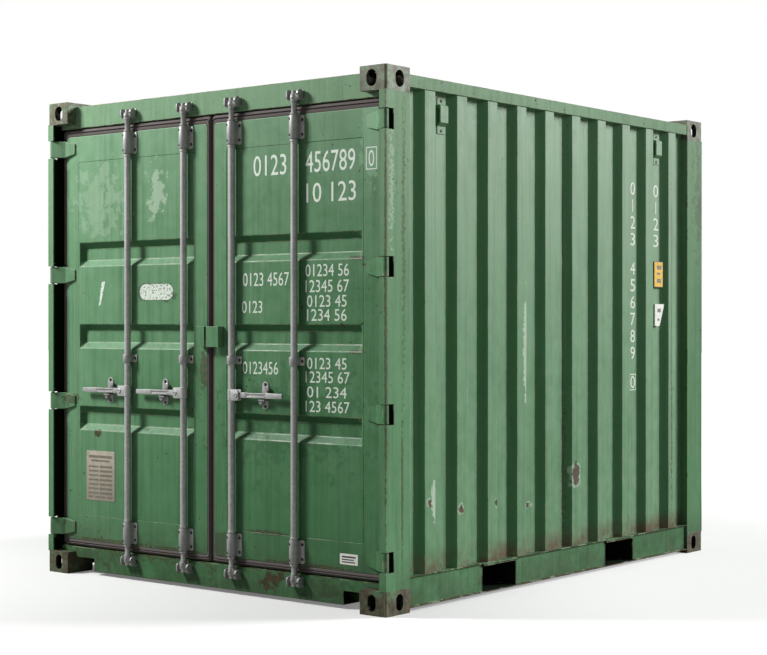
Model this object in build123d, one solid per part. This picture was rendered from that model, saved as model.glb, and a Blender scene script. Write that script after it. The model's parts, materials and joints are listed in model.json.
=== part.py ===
from build123d import *
import os

# A ten-foot steel freight container with two hinged doors, in millimetres.
# The origin is the middle of the footprint, on the plane that the bottom castings rest on.
# +Z is up, the door end faces -Y, and left and right are as seen facing the doors.
# "Depth" is the distance inward from the plane of the door-end castings.

# Overall size
WIDTH = 2438
LENGTH = 2991
HEIGHT = 2591

# Corner castings
CASTING_X = 162
CASTING_Y = 178
CASTING_Z = 118
CASTING_CAP = 28
CASTING_FACE = 20
CASTING_BACK = 12
CASTING_CORNER = 14
LIFT_HOLE_LENGTH = 124
LIFT_HOLE_WIDTH = 63.5
SIDE_HOLE_HEIGHT = 80
TOP_SIDE_HOLE = 62
BOTTOM_SIDE_HOLE = 51
HOLE_FROM_SIDE = 89
HOLE_FROM_END = 101.5

# Door posts: an outer channel open inwards, with a hollow door stop behind it
POST_FLANGE = 42
POST_WALL = 6
STOP_DEPTH = 103
STOP_WIDTH = 76
STOP_WALL = 6

# Door header and sill, both hollow, with a lip that the doors close against
BEAM_DEPTH = 58
BEAM_WALL = 6
HEADER_DROP = 22
HEADER_HEIGHT = 120
SILL_BOTTOM = 20
SILL_HEIGHT = 124
STOP_LIP = 30
SILL_NOTCH_WIDTH = 152
SILL_NOTCH_HEIGHT = 68

# Blind end frame
END_POST_EDGE = 50
END_POST_WIDTH = 60
END_BEAM_INSET = 10
END_BEAM_DEPTH = 60
END_HEADER_HEIGHT = 86

# Side rails
RAIL_DROP = 30
TOP_RAIL_SIZE = 60
TOP_RAIL_WALL = 4
RAIL_INSET = 3
BOTTOM_RAIL_HEIGHT = 150
BOTTOM_RAIL_PLATE = 6
BOTTOM_RAIL_FLANGE = 50
BOTTOM_RAIL_LIP = 12

# Corrugated walls
SHEET = 2
WALL_INSET = 8
WALL_DEPTH = 36
SIDE_PITCH = 256
SIDE_FLAT = 80
SIDE_SLOPE = 48
END_WALL_INSET = 14
END_PITCH = 256
END_FLAT = 96
END_SLOPE = 40

# Roof sheet, with shallow ribs pressed into it that stop short of the rails
ROOF_PITCH = 209
ROOF_RIB_WIDTH = 150
ROOF_RIB_FLAT = 90
ROOF_RIB_RISE = 18
ROOF_RIB_MARGIN = 60
ROOF_RIB_END = 40
ROOF_OVERLAP = 30

# Floor and what carries it
FLOOR_THICKNESS = 28
FLOOR_BOTTOM = 158
MEMBER_HEIGHT = 122
MEMBER_WIDTH = 45
MEMBER_WALL = 5
BAY_MEMBERS = 2
POCKET_WIDTH = 285
POCKET_CENTRE = 575
POCKET_WALL = 6
WELD_GAP = 0.2

# Ventilators, each on a hollow of a side wall
VENT_BELOW_RAIL = 109
VENT_WIDTH = 62
VENT_HEIGHT = 108
VENT_DEPTH = 24
VENT_SLANT = 20
VENT_EAR = 34
VENT_SLOT = 8

# Door leaves
LEAF_DEPTH = 58
LEAF_THICKNESS = 50
LEAF_INNER_X = 25.5
LEAF_SIDE_GAP = 12
LEAF_CORNER = 16
CENTRE_STILE = 90.5
HINGE_STILE = 101
LEAF_RAIL = 143
DOOR_SHEET = 3
TROUGHS = 3
TROUGH_PITCH = 448
TROUGH_LIFT = 11
TROUGH_HEIGHT = 132
TROUGH_FLAT = 64
TROUGH_END_GAP = 42
TROUGH_END_SLOPE = 44
TROUGH_DEPTH = 34

# Door gasket, a rubber frame with a groove round its face
GASKET_CENTRE_GAP = 12
GASKET_SIDE = 35
GASKET_TOP = 40
GASKET_BOTTOM = 34
GASKET_TOP_PLAY = 5
GASKET_BOTTOM_PLAY = 6
GASKET_SETBACK = 2
GASKET_THICKNESS = 38
GASKET_LIP = 7
GASKET_GROOVE = 5
GASKET_GROOVE_DEPTH = 6

# Hinges
HINGES = 4
HINGE_FROM_BOTTOM = 70
HINGE_FROM_TOP = 67
PIN_INSET = 18
PIN_RADIUS = 8
PIN_PLAY = 0.5
PIN_HEAD = 11.5
PIN_HEAD_THICKNESS = 4
KNUCKLE_RADIUS = 15
BLADE_LENGTH = 76
BLADE_HEIGHT = 90
BLADE_TIP_HEIGHT = 57
BLADE_TIP_THICKNESS = 8
BLADE_ROOT_THICKNESS = 16
NOTCH_PLAY = 4
NOTCH_DEPTH = 60
LUG_HEIGHT = 16
LUG_RADIUS = 13

# Lock rods
ROD_INNER = 175
ROD_OUTER = 605
ROD_RADIUS = 17
ROD_DEPTH = 33
ROD_PLAY = 1
CAM_ABOVE_HEADER_BOTTOM = 48.5
CAM_BELOW_SILL_TOP = 39
CAM_HEIGHT = 42
CAM_HUB = 18
CAM_REACH = 26
CAM_NOSE = 22
CAM_NECK = 13.5
CAM_NECK_LENGTH = 14
CAM_PIN = 8
CAM_PIN_PROUD = 3
CAM_EDGE = 4
KEEPER_HEIGHT = 50
KEEPER_LUG = 6
KEEPER_HORN = 12
KEEPER_GAP = 31
KEEPER_PLATE = 4
KEEPER_FRONT = 14
COLLAR_RADIUS = 20
COLLAR_HEIGHT = 12
COLLAR_PLAY = 3

# Rod bearings on the leaves
BEARING_FROM_BOTTOM = 70
BEARING_FROM_TOP = 64.5
BEARING_WIDTH = 100
BEARING_HEIGHT = 115
BEARING_BODY_HEIGHT = 112
BEARING_THICKNESS = 6
BEARING_CORNER = 10
BEARING_RADIUS = 25
STRAP_CENTRE = 1190
STRAP_HEIGHT = 41

# Handles: the outer right-hand rod has lost its handle
ROD_HAS_HANDLE = (True, True, True, False)
HANDLE_Z = 1015
HANDLE_END_GAP = 75
HANDLE_PIVOT = 46
HANDLE_HEIGHT = 26
HANDLE_THICKNESS = 12
HANDLE_DEPTH = 29
HANDLE_EYE = 15
GRIP_LENGTH = 120
GRIP_HEIGHT = 30
GRIP_ROUND = 5
EAR_THICKNESS = 6
EAR_PLAY = 2
EAR_HEIGHT = 50
EAR_END = 22
EAR_CORNER = 12
HUB_RADIUS = 20
HUB_HEIGHT = 60
BOLT_RADIUS = 7
BOLT_HEAD = 11
BOLT_PROUD = 4

# Handle catches on the leaves: an oval plate, a post with a turning flap, and a shelf
CATCH_OFFSET = 160
RIGHT_CATCH_OFFSET = 215
CATCH_PLATE_LENGTH = 140
CATCH_PLATE_WIDTH = 45
CATCH_PLATE_THICKNESS = 4
CATCH_BODY_WIDTH = 28
CATCH_BODY_HEIGHT = 60
CATCH_FLAP_WIDTH = 30
CATCH_FLAP_LENGTH = 108
CATCH_FLAP_THICKNESS = 7
CATCH_FLAP_TURN = 32
CATCH_CLEARANCE = 7
CATCH_SHELF_WIDTH = 40
CATCH_SHELF_THICKNESS = 6

# Seal cover over the middle of the doors, in two halves
SEAL_LEFT_X = 62
SEAL_RIGHT_X = 95
SEAL_BOTTOM = 1255
SEAL_TOP = 1360
SEAL_DEPTH = 42
SEAL_WALL = 4

# How far a cutting tool runs past the face it cuts
OVERCUT = 1

SIDE = WIDTH / 2
END = LENGTH / 2
POST_BOTTOM = CASTING_Z
POST_TOP = HEIGHT - CASTING_Z
BEAM_X = SIDE - CASTING_X
STOP_X = SIDE - STOP_WIDTH
CHANNEL_X = SIDE - POST_FLANGE
HEADER_TOP = HEIGHT - HEADER_DROP
HEADER_BOTTOM = HEADER_TOP - HEADER_HEIGHT
SILL_TOP = SILL_BOTTOM + SILL_HEIGHT
RAIL_TOP = HEIGHT - RAIL_DROP
RAIL_END = END - CASTING_Y
RAIL_X = SIDE - RAIL_INSET
RAIL_INNER_X = RAIL_X - BOTTOM_RAIL_FLANGE
BOTTOM_RAIL_TOP = SILL_BOTTOM + BOTTOM_RAIL_HEIGHT
WEB_X = RAIL_X - BOTTOM_RAIL_LIP
END_HEADER_BOTTOM = RAIL_TOP - END_HEADER_HEIGHT
WALL_OUTER = SIDE - WALL_INSET
WALL_BOTTOM = BOTTOM_RAIL_TOP
WALL_TOP = RAIL_TOP - TOP_RAIL_SIZE
SIDE_RIDGES = int(2 * RAIL_END // SIDE_PITCH)
END_RIDGES = int(2 * BEAM_X // END_PITCH)
ROOF_RIBS = int(2 * RAIL_END // ROOF_PITCH)
POCKET_HALF = POCKET_WIDTH / 2 + POCKET_WALL
VENT_Y = (SIDE_RIDGES / 2 - 1) * SIDE_PITCH
VENT_Z = WALL_TOP - VENT_BELOW_RAIL
LEAF_BOTTOM = SILL_TOP + GASKET_BOTTOM_PLAY + GASKET_BOTTOM
LEAF_TOP = HEADER_BOTTOM - GASKET_TOP_PLAY - GASKET_TOP
LEAF_OUTER_X = STOP_X - LEAF_SIDE_GAP
PANEL_X = (LEAF_INNER_X + CENTRE_STILE, LEAF_OUTER_X - HINGE_STILE)
PANEL_Z = (LEAF_BOTTOM + LEAF_RAIL, LEAF_TOP - LEAF_RAIL)
PIN_X = SIDE - PIN_INSET
BLADE_TIP_X = LEAF_OUTER_X - BLADE_LENGTH
ROD_PLACES = (-ROD_OUTER, -ROD_INNER, ROD_INNER, ROD_OUTER)
HANDLE_LENGTH = ROD_OUTER - ROD_INNER - HANDLE_END_GAP
CAM_CENTRES = (SILL_TOP - CAM_BELOW_SILL_TOP, HEADER_BOTTOM + CAM_ABOVE_HEADER_BOTTOM)
BEARING_CENTRES = (LEAF_BOTTOM + BEARING_FROM_BOTTOM, LEAF_TOP - BEARING_FROM_TOP)


def inward(depth):
    """Return the Y of a plane at this depth behind the door end."""
    return depth - END


def block(x0, x1, y0, y1, z0, z1):
    """Return a box between two planes on each axis."""
    box = Box(abs(x1 - x0), abs(y1 - y0), abs(z1 - z0))
    return Pos((x0 + x1) / 2, (y0 + y1) / 2, (z0 + z1) / 2) * box


def pillar(x, y, radius, z0, z1):
    """Return an upright round bar."""
    return Pos(x, y, (z0 + z1) / 2) * Cylinder(radius, z1 - z0)


def cross_bar(x, z, radius, y0, y1):
    """Return a round bar along Y."""
    return Pos(x, (y0 + y1) / 2, z) * Rot(90, 0, 0) * Cylinder(radius, abs(y1 - y0))


def upright_prism(points, z0, z1):
    """Extrude a closed outline of X and Y points between two heights."""
    outline = make_face(Polyline(*points, close=True))
    return Pos(0, 0, z0) * extrude(outline, z1 - z0)


def long_prism(points, y0, y1):
    """Extrude a closed outline of X and Z points along Y."""
    outline = make_face(Polyline(*[(x, 0, z) for x, z in points], close=True))
    return Pos(0, y0, 0) * extrude(outline, y1 - y0, dir=(0, 1, 0))


def cross_prism(points, x0, x1):
    """Extrude a closed outline of Y and Z points along X."""
    outline = make_face(Polyline(*[(0, y, z) for y, z in points], close=True))
    return Pos(x0, 0, 0) * extrude(outline, x1 - x0, dir=(1, 0, 0))


def spaced(start, finish, count):
    """Return this many places between two ends, with equal gaps."""
    return [start + (finish - start) * (index + 1) / (count + 1) for index in range(count)]


def hinge_heights():
    """Return the height of each hinge, evenly spaced up a leaf."""
    low, high = LEAF_BOTTOM + HINGE_FROM_BOTTOM, LEAF_TOP - HINGE_FROM_TOP
    return [low, *spaced(low, high, HINGES - 2), high]


def front_plane(x, z, depth):
    """Return a plane that faces the front, at a depth behind the door end."""
    return Plane(origin=(x, inward(depth), z), x_dir=(1, 0, 0), z_dir=(0, -1, 0))


def stadium(length, width, thickness):
    """Return a round-ended bar, long in X and thick in Z, about the origin."""
    return extrude(SlotOverall(length, width), thickness / 2, both=True)


def left_copy(shape):
    """Return the mirror image across the middle of the container."""
    return mirror(shape, about=Plane.YZ)


def corrugation(start, finish, low, high, count, pitch, flat, slope):
    """Return the zigzag line of a pressed sheet, centred on zero."""
    points = [(start, low)]
    for index in range(count):
        centre = (index - (count - 1) / 2) * pitch
        points.append((centre - flat / 2 - slope, low))
        points.append((centre - flat / 2, high))
        points.append((centre + flat / 2, high))
        points.append((centre + flat / 2 + slope, low))
    points.append((finish, low))
    return points


def thickened(points, thickness):
    """Close a zigzag line into the outline of a sheet, thickened on its low side."""
    back = [(u, v - thickness) for u, v in reversed(points)]
    return points + back


def casting(side_hole_width):
    """Return the top casting of the right-hand door corner."""
    x0, x1 = SIDE - CASTING_X, SIDE
    y0, y1 = -END, inward(CASTING_Y)
    z0, z1 = POST_TOP, HEIGHT
    body = block(x0, x1, y0, y1, z0, z1)
    corner = body.edges().filter_by(Axis.Z).sort_by(lambda edge: edge.center().X - edge.center().Y)
    body = fillet(corner[-1], CASTING_CORNER)
    body -= block(
        x0 + CASTING_BACK, x1 - CASTING_FACE,
        y0 + CASTING_FACE, y1 - CASTING_BACK,
        z0 + CASTING_BACK, z1 - CASTING_CAP,
    )
    middle = (z0 + z1) / 2
    hole_x = SIDE - HOLE_FROM_SIDE
    hole_y = inward(HOLE_FROM_END)
    upright = Rot(0, 90, 0) * stadium(SIDE_HOLE_HEIGHT, side_hole_width, 3 * CASTING_FACE)
    lift_hole = stadium(LIFT_HOLE_LENGTH, LIFT_HOLE_WIDTH, 3 * CASTING_CAP)
    body -= Pos(hole_x, hole_y, z1) * Rot(0, 0, 90) * lift_hole
    body -= Pos(x1, hole_y, middle) * upright
    body -= Pos(hole_x, y0, middle) * Rot(0, 0, 90) * upright
    return body


def corner_set(side_hole_width, top):
    """Return the four castings of the top or of the bottom."""
    first = casting(side_hole_width)
    if not top:
        first = mirror(first, about=Plane.XY.offset(HEIGHT / 2))
    door_pair = [first, left_copy(first)]
    end_pair = [mirror(shape, about=Plane.XZ) for shape in door_pair]
    return Compound(children=door_pair + end_pair)


def hinge_notch(z):
    """Return the cut that lets a hinge blade swing round the post."""
    reach = BLADE_HEIGHT / 2 + NOTCH_PLAY
    return block(
        CHANNEL_X - OVERCUT, SIDE + OVERCUT, inward(-OVERCUT), inward(NOTCH_DEPTH), z - reach, z + reach,
    )


def hinge_lug(z0, z1):
    """Return a bored lug inside the post, which holds a hinge pin."""
    lug = block(
        PIN_X - LUG_RADIUS, SIDE - POST_WALL / 2,
        inward(POST_WALL / 2), inward(PIN_INSET + LUG_RADIUS),
        z0, z1,
    )
    bore = pillar(PIN_X, inward(PIN_INSET), PIN_RADIUS + PIN_PLAY / 2, z0 - OVERCUT, z1 + OVERCUT)
    return lug - bore


def door_post():
    """Return the right-hand door post."""
    outline = [
        (CHANNEL_X, inward(0)), (SIDE, inward(0)), (SIDE, inward(CASTING_Y)),
        (STOP_X, inward(CASTING_Y)), (STOP_X, inward(STOP_DEPTH)), (CHANNEL_X, inward(STOP_DEPTH)),
    ]
    post = upright_prism(outline, POST_BOTTOM, POST_TOP)
    post -= block(
        CHANNEL_X - OVERCUT, SIDE - POST_WALL,
        inward(POST_WALL), inward(STOP_DEPTH),
        POST_BOTTOM, POST_TOP,
    )
    post -= block(
        STOP_X + STOP_WALL, SIDE - STOP_WALL,
        inward(STOP_DEPTH + STOP_WALL), inward(CASTING_Y - STOP_WALL),
        POST_BOTTOM, POST_TOP,
    )
    for z in hinge_heights():
        reach = BLADE_HEIGHT / 2 + NOTCH_PLAY
        post -= hinge_notch(z)
        post += hinge_lug(z + reach, z + reach + LUG_HEIGHT)
        post += hinge_lug(z - reach - LUG_HEIGHT, z - reach)
    return post


def hinge_pin(z):
    """Return a headed pin through a blade and its two lugs."""
    reach = BLADE_HEIGHT / 2 + NOTCH_PLAY + LUG_HEIGHT
    pin = pillar(PIN_X, inward(PIN_INSET), PIN_RADIUS, z - reach, z + reach)
    head = pillar(PIN_X, inward(PIN_INSET), PIN_HEAD, z + reach, z + reach + PIN_HEAD_THICKNESS)
    return pin + head


def hinge_pins():
    """Return all the hinge pins."""
    right = [hinge_pin(z) for z in hinge_heights()]
    return Compound(children=right + [left_copy(pin) for pin in right])


def beam_section(outline, hollow):
    """Return a pressed hollow beam across the container, cut square at the castings."""
    beam = cross_prism(outline, -BEAM_X, BEAM_X)
    return beam - cross_prism(hollow, -BEAM_X - OVERCUT, BEAM_X + OVERCUT)


def door_header():
    """Return the beam above the doors, with its filler plates below the castings."""
    front, back = inward(BEAM_DEPTH), inward(CASTING_Y)
    stop = inward(STOP_DEPTH)
    wall = BEAM_WALL
    outline = [
        (front, HEADER_TOP), (front, HEADER_BOTTOM), (stop, HEADER_BOTTOM),
        (stop, HEADER_BOTTOM - STOP_LIP), (back, HEADER_BOTTOM - STOP_LIP), (back, HEADER_TOP),
    ]
    hollow = [
        (front + wall, HEADER_TOP - wall), (front + wall, HEADER_BOTTOM + wall),
        (stop + wall, HEADER_BOTTOM + wall), (stop + wall, HEADER_BOTTOM - STOP_LIP + wall),
        (back - wall, HEADER_BOTTOM - STOP_LIP + wall), (back - wall, HEADER_TOP - wall),
    ]
    header = beam_section(outline, hollow)
    for side in (-1, 1):
        header += block(side * BEAM_X, side * STOP_X, stop, back, HEADER_BOTTOM - STOP_LIP, POST_TOP)
        header += block(side * BEAM_X, side * CHANNEL_X, front, stop, HEADER_BOTTOM, POST_TOP)
    return header


def door_sill():
    """Return the beam below the doors, notched from below beside the castings."""
    front, back = inward(BEAM_DEPTH), inward(CASTING_Y)
    stop = inward(STOP_DEPTH)
    wall = BEAM_WALL
    outline = [
        (front, SILL_BOTTOM), (front, SILL_TOP), (stop, SILL_TOP),
        (stop, SILL_TOP + STOP_LIP), (back, SILL_TOP + STOP_LIP), (back, SILL_BOTTOM),
    ]
    hollow = [
        (front + wall, SILL_BOTTOM + wall), (front + wall, SILL_TOP - wall),
        (stop + wall, SILL_TOP - wall), (stop + wall, SILL_TOP + STOP_LIP - wall),
        (back - wall, SILL_TOP + STOP_LIP - wall), (back - wall, SILL_BOTTOM + wall),
    ]
    sill = beam_section(outline, hollow)
    for side in (-1, 1):
        sill += block(side * BEAM_X, side * STOP_X, stop, back, POST_BOTTOM, SILL_TOP + STOP_LIP)
        sill += block(side * BEAM_X, side * CHANNEL_X, front, stop, POST_BOTTOM, SILL_TOP)
        inner = BEAM_X - SILL_NOTCH_WIDTH
        sill -= block(
            side * inner, side * BEAM_X, front - OVERCUT, back + OVERCUT,
            SILL_BOTTOM - OVERCUT, SILL_BOTTOM + SILL_NOTCH_HEIGHT,
        )
    return sill


def end_post():
    """Return the right-hand post of the blind end, a folded plate with a slanted back."""
    outline = [
        (SIDE, END), (BEAM_X, END), (BEAM_X, END - END_POST_EDGE),
        (SIDE - END_POST_WIDTH, RAIL_END), (SIDE, RAIL_END),
    ]
    face = make_face(Polyline(*outline, close=True))
    inner = offset(face, amount=-STOP_WALL, kind=Kind.INTERSECTION)
    section = face - inner
    return Pos(0, 0, POST_BOTTOM) * extrude(section, POST_TOP - POST_BOTTOM)


def end_header():
    """Return the hollow top beam of the blind end, with the plate that meets the roof."""
    front, back = END - END_BEAM_INSET, END - END_BEAM_INSET - END_BEAM_DEPTH
    wall = TOP_RAIL_WALL
    header = block(-BEAM_X, BEAM_X, back, front, END_HEADER_BOTTOM, RAIL_TOP)
    header -= block(
        -BEAM_X - OVERCUT, BEAM_X + OVERCUT, back + wall, front - wall,
        END_HEADER_BOTTOM + wall, RAIL_TOP - wall,
    )
    return header + block(-BEAM_X, BEAM_X, RAIL_END, back, RAIL_TOP - wall, RAIL_TOP)


def end_sill():
    """Return the bottom beam of the blind end, a channel open inwards."""
    front, back = END - END_BEAM_INSET, END - END_BEAM_INSET - END_BEAM_DEPTH
    plate = BOTTOM_RAIL_PLATE
    sill = block(-BEAM_X, BEAM_X, back, front, SILL_BOTTOM, BOTTOM_RAIL_TOP)
    return sill - block(
        -BEAM_X - OVERCUT, BEAM_X + OVERCUT, back - OVERCUT, front - plate,
        SILL_BOTTOM + plate, BOTTOM_RAIL_TOP - plate,
    )


def top_rail():
    """Return the right-hand top rail, a square tube."""
    wall = TOP_RAIL_WALL
    rail = block(RAIL_X - TOP_RAIL_SIZE, RAIL_X, -RAIL_END, RAIL_END, WALL_TOP, RAIL_TOP)
    return rail - block(
        RAIL_X - TOP_RAIL_SIZE + wall, RAIL_X - wall,
        -RAIL_END - OVERCUT, RAIL_END + OVERCUT, WALL_TOP + wall, RAIL_TOP - wall,
    )


def pocket_places():
    """Return the Y of the middle of each fork pocket."""
    return (-POCKET_CENTRE, POCKET_CENTRE)


def bays():
    """Return the stretches of the underframe before, between and behind the fork pockets."""
    stops = [-RAIL_END]
    for y in pocket_places():
        stops += [y - POCKET_HALF, y + POCKET_HALF]
    stops.append(RAIL_END)
    return list(zip(stops[::2], stops[1::2]))


def rail_channel(y0, y1):
    """Return a length of the right-hand bottom rail, a channel open inwards."""
    plate = BOTTOM_RAIL_PLATE
    rail = block(RAIL_INNER_X, RAIL_X, y0, y1, SILL_BOTTOM, SILL_BOTTOM + plate)
    rail += block(RAIL_INNER_X, RAIL_X, y0, y1, BOTTOM_RAIL_TOP - plate, BOTTOM_RAIL_TOP)
    rail += block(WEB_X - plate, WEB_X, y0, y1, SILL_BOTTOM, BOTTOM_RAIL_TOP)
    return rail


def bottom_rail():
    """Return the right-hand bottom rail, in three lengths between the fork pockets."""
    return Compound(children=[rail_channel(y0, y1) for y0, y1 in bays()])


def fork_pocket(y):
    """Return the welded plates that line one tunnel for a lifting fork, open at both sides."""
    y0, y1 = y - POCKET_HALF, y + POCKET_HALF
    floor_top = SILL_BOTTOM + POCKET_WALL
    roof_bottom = FLOOR_BOTTOM - POCKET_WALL
    plates = [
        block(-RAIL_X, RAIL_X, y0, y1, SILL_BOTTOM, floor_top),
        block(-RAIL_X, RAIL_X, y0, y1, roof_bottom, FLOOR_BOTTOM),
    ]
    for side in (-1, 1):
        edge = y + side * POCKET_HALF
        plates.append(block(
            -WEB_X, WEB_X, edge - side * POCKET_WALL, edge,
            floor_top + WELD_GAP, roof_bottom - WELD_GAP,
        ))
        plates.append(block(
            side * RAIL_INNER_X, side * RAIL_X, y0, y1,
            FLOOR_BOTTOM + WELD_GAP, BOTTOM_RAIL_TOP,
        ))
    return plates


def fork_pockets():
    """Return both fork pockets."""
    return Compound(children=[plate for y in pocket_places() for plate in fork_pocket(y)])


def cross_member(y):
    """Return one folded floor bearer, a channel open towards +Y."""
    reach = WEB_X - BOTTOM_RAIL_PLATE
    bottom = FLOOR_BOTTOM - MEMBER_HEIGHT
    wall = MEMBER_WALL
    y0, y1 = y - MEMBER_WIDTH / 2, y + MEMBER_WIDTH / 2
    member = block(-reach, reach, y0, y1, bottom, FLOOR_BOTTOM)
    return member - block(
        -reach - OVERCUT, reach + OVERCUT, y0 + wall, y1 + OVERCUT,
        bottom + wall, FLOOR_BOTTOM - wall,
    )


def cross_members():
    """Return the floor bearers, evenly spaced in each bay."""
    places = [y for y0, y1 in bays() for y in spaced(y0, y1, BAY_MEMBERS)]
    return Compound(children=[cross_member(y) for y in places])


def floor_boards():
    """Return the plywood floor."""
    end_y = END - END_BEAM_INSET - END_BEAM_DEPTH
    top = FLOOR_BOTTOM + FLOOR_THICKNESS
    floor = block(-RAIL_INNER_X, RAIL_INNER_X, inward(CASTING_Y), end_y, FLOOR_BOTTOM, top)
    for side in (-1, 1):
        floor -= block(
            side * BEAM_X, side * SIDE, RAIL_END, END, FLOOR_BOTTOM - OVERCUT, top + OVERCUT,
        )
    return floor


def side_wall():
    """Return the corrugated right-hand wall."""
    line = corrugation(
        -RAIL_END, RAIL_END, WALL_OUTER - WALL_DEPTH, WALL_OUTER,
        SIDE_RIDGES, SIDE_PITCH, SIDE_FLAT, SIDE_SLOPE,
    )
    outline = [(x, y) for y, x in thickened(line, SHEET)]
    return upright_prism(outline, WALL_BOTTOM, WALL_TOP)


def end_wall():
    """Return the corrugated wall of the blind end."""
    outer = END - END_WALL_INSET
    line = corrugation(
        -BEAM_X, BEAM_X, outer - WALL_DEPTH, outer,
        END_RIDGES, END_PITCH, END_FLAT, END_SLOPE,
    )
    return upright_prism(thickened(line, SHEET), BOTTOM_RAIL_TOP, END_HEADER_BOTTOM)


def roof_rib(y, shrink, bottom):
    """Return the solid form of one raised rib across the roof, narrower at its top."""
    reach = RAIL_X - TOP_RAIL_SIZE - ROOF_RIB_MARGIN
    base = Plane(origin=(0, y, bottom), z_dir=(0, 0, 1))
    crest = base.offset(ROOF_RIB_RISE)
    wide = base * Rectangle(2 * reach - 2 * shrink, ROOF_RIB_WIDTH - 2 * shrink)
    narrow = crest * Rectangle(2 * reach - 2 * ROOF_RIB_END - 2 * shrink, ROOF_RIB_FLAT - 2 * shrink)
    return loft([wide, narrow])


def roof_panel():
    """Return the roof sheet with its shallow pressed ribs, open underneath."""
    reach = RAIL_X - TOP_RAIL_SIZE + ROOF_OVERLAP
    panel = block(-reach, reach, -RAIL_END, RAIL_END, RAIL_TOP, RAIL_TOP + SHEET)
    places = [(index - (ROOF_RIBS - 1) / 2) * ROOF_PITCH for index in range(ROOF_RIBS)]
    for y in places:
        panel += roof_rib(y, 0, RAIL_TOP + SHEET)
    for y in places:
        panel -= roof_rib(y, SHEET, RAIL_TOP)
    return panel


def vent(y):
    """Return a right-hand ventilator: a slanted hood, slotted at its sides, on a bolted plate."""
    back = WALL_OUTER - WALL_DEPTH
    front = back + VENT_DEPTH
    z0, z1 = VENT_Z - VENT_HEIGHT / 2, VENT_Z + VENT_HEIGHT / 2
    y0, y1 = y - VENT_WIDTH / 2, y + VENT_WIDTH / 2
    corner = VENT_DEPTH / 3
    outline = [(back, z0), (front, z0 + VENT_SLANT), (front, z1 - corner), (front - corner, z1), (back, z1)]
    hollow = [
        (back - OVERCUT, z0 + 2 * SHEET), (back + SHEET, z0 + 2 * SHEET),
        (front - SHEET, z0 + VENT_SLANT + SHEET), (front - SHEET, z1 - corner - SHEET),
        (front - corner - SHEET, z1 - SHEET), (back - OVERCUT, z1 - SHEET),
    ]
    hood = long_prism(outline, y0, y1) - long_prism(hollow, y0 + SHEET, y1 - SHEET)
    hood -= block(
        back + 2 * SHEET, back + 2 * SHEET + VENT_SLOT, y0 - OVERCUT, y1 + OVERCUT,
        z0 + VENT_SLANT, z1 - VENT_SLANT,
    )
    plate = block(back, back + 2 * SHEET, y0, y1, z0 - VENT_EAR, z1 + VENT_EAR)
    plate -= block(
        back - OVERCUT, front, y0 + SHEET, y1 - SHEET, z0 + 2 * SHEET, z1 - SHEET,
    )
    return hood + plate


def vents():
    """Return both right-hand ventilators."""
    return Compound(children=[vent(-VENT_Y), vent(VENT_Y)])


def keeper(x, z):
    """Return the bracket that a rod's cam locks into, with a thin lug and a thicker horn."""
    back = inward(BEAM_DEPTH)
    front = inward(KEEPER_FRONT)
    z0, z1 = z - KEEPER_HEIGHT / 2, z + KEEPER_HEIGHT / 2
    lug = block(x - KEEPER_GAP - KEEPER_LUG, x - KEEPER_GAP, front, back, z0, z1)
    lug = fillet(lug.edges().filter_by(Axis.X).sort_by(Axis.Y)[:2], KEEPER_HEIGHT / 4)
    horn = block(x + KEEPER_GAP, x + KEEPER_GAP + KEEPER_HORN, front, back, z0, z1)
    horn = fillet(horn.edges().filter_by(Axis.X).sort_by(Axis.Y)[:2], KEEPER_HEIGHT / 3)
    plate = block(
        x - KEEPER_GAP - KEEPER_LUG, x + KEEPER_GAP + KEEPER_HORN,
        back - KEEPER_PLATE, back, z0, z1,
    )
    return plate + lug + horn


def cam_keepers():
    """Return the keepers on the header and the sill."""
    return Compound(children=[keeper(x, z) for x in ROD_PLACES for z in CAM_CENTRES])


def leaf_frame():
    """Return the welded frame of the right-hand leaf."""
    plane = front_plane((LEAF_INNER_X + LEAF_OUTER_X) / 2, (LEAF_BOTTOM + LEAF_TOP) / 2, LEAF_DEPTH)
    outline = RectangleRounded(LEAF_OUTER_X - LEAF_INNER_X, LEAF_TOP - LEAF_BOTTOM, LEAF_CORNER)
    frame = extrude(plane * outline, -LEAF_THICKNESS)
    front, back = inward(LEAF_DEPTH - OVERCUT), inward(LEAF_DEPTH + LEAF_THICKNESS + OVERCUT)
    return frame - block(*PANEL_X, front, back, *PANEL_Z)


def trough_heights():
    """Return the height of the middle of each trough of a leaf."""
    middle = (PANEL_Z[0] + PANEL_Z[1]) / 2 + TROUGH_LIFT
    return [middle + (index - (TROUGHS - 1) / 2) * TROUGH_PITCH for index in range(TROUGHS)]


def trough(z, shrink, depth):
    """Return the solid form of one pressed trough, narrower at its bottom."""
    length = PANEL_X[1] - PANEL_X[0] - 2 * TROUGH_END_GAP
    mouth = front_plane((PANEL_X[0] + PANEL_X[1]) / 2, z, LEAF_DEPTH)
    wide = mouth * Rectangle(length - 2 * shrink, TROUGH_HEIGHT - 2 * shrink)
    narrow = mouth.offset(-depth) * Rectangle(
        length - 2 * TROUGH_END_SLOPE - 2 * shrink, TROUGH_FLAT - 2 * shrink,
    )
    return loft([wide, narrow])


def leaf_panel():
    """Return the sheet of the right-hand leaf, with its pressed troughs."""
    front = inward(LEAF_DEPTH)
    panel = block(*PANEL_X, front, front + DOOR_SHEET, *PANEL_Z)
    for z in trough_heights():
        panel += trough(z, 0, TROUGH_DEPTH)
    for z in trough_heights():
        panel -= trough(z, DOOR_SHEET, TROUGH_DEPTH - DOOR_SHEET)
    return panel


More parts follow.
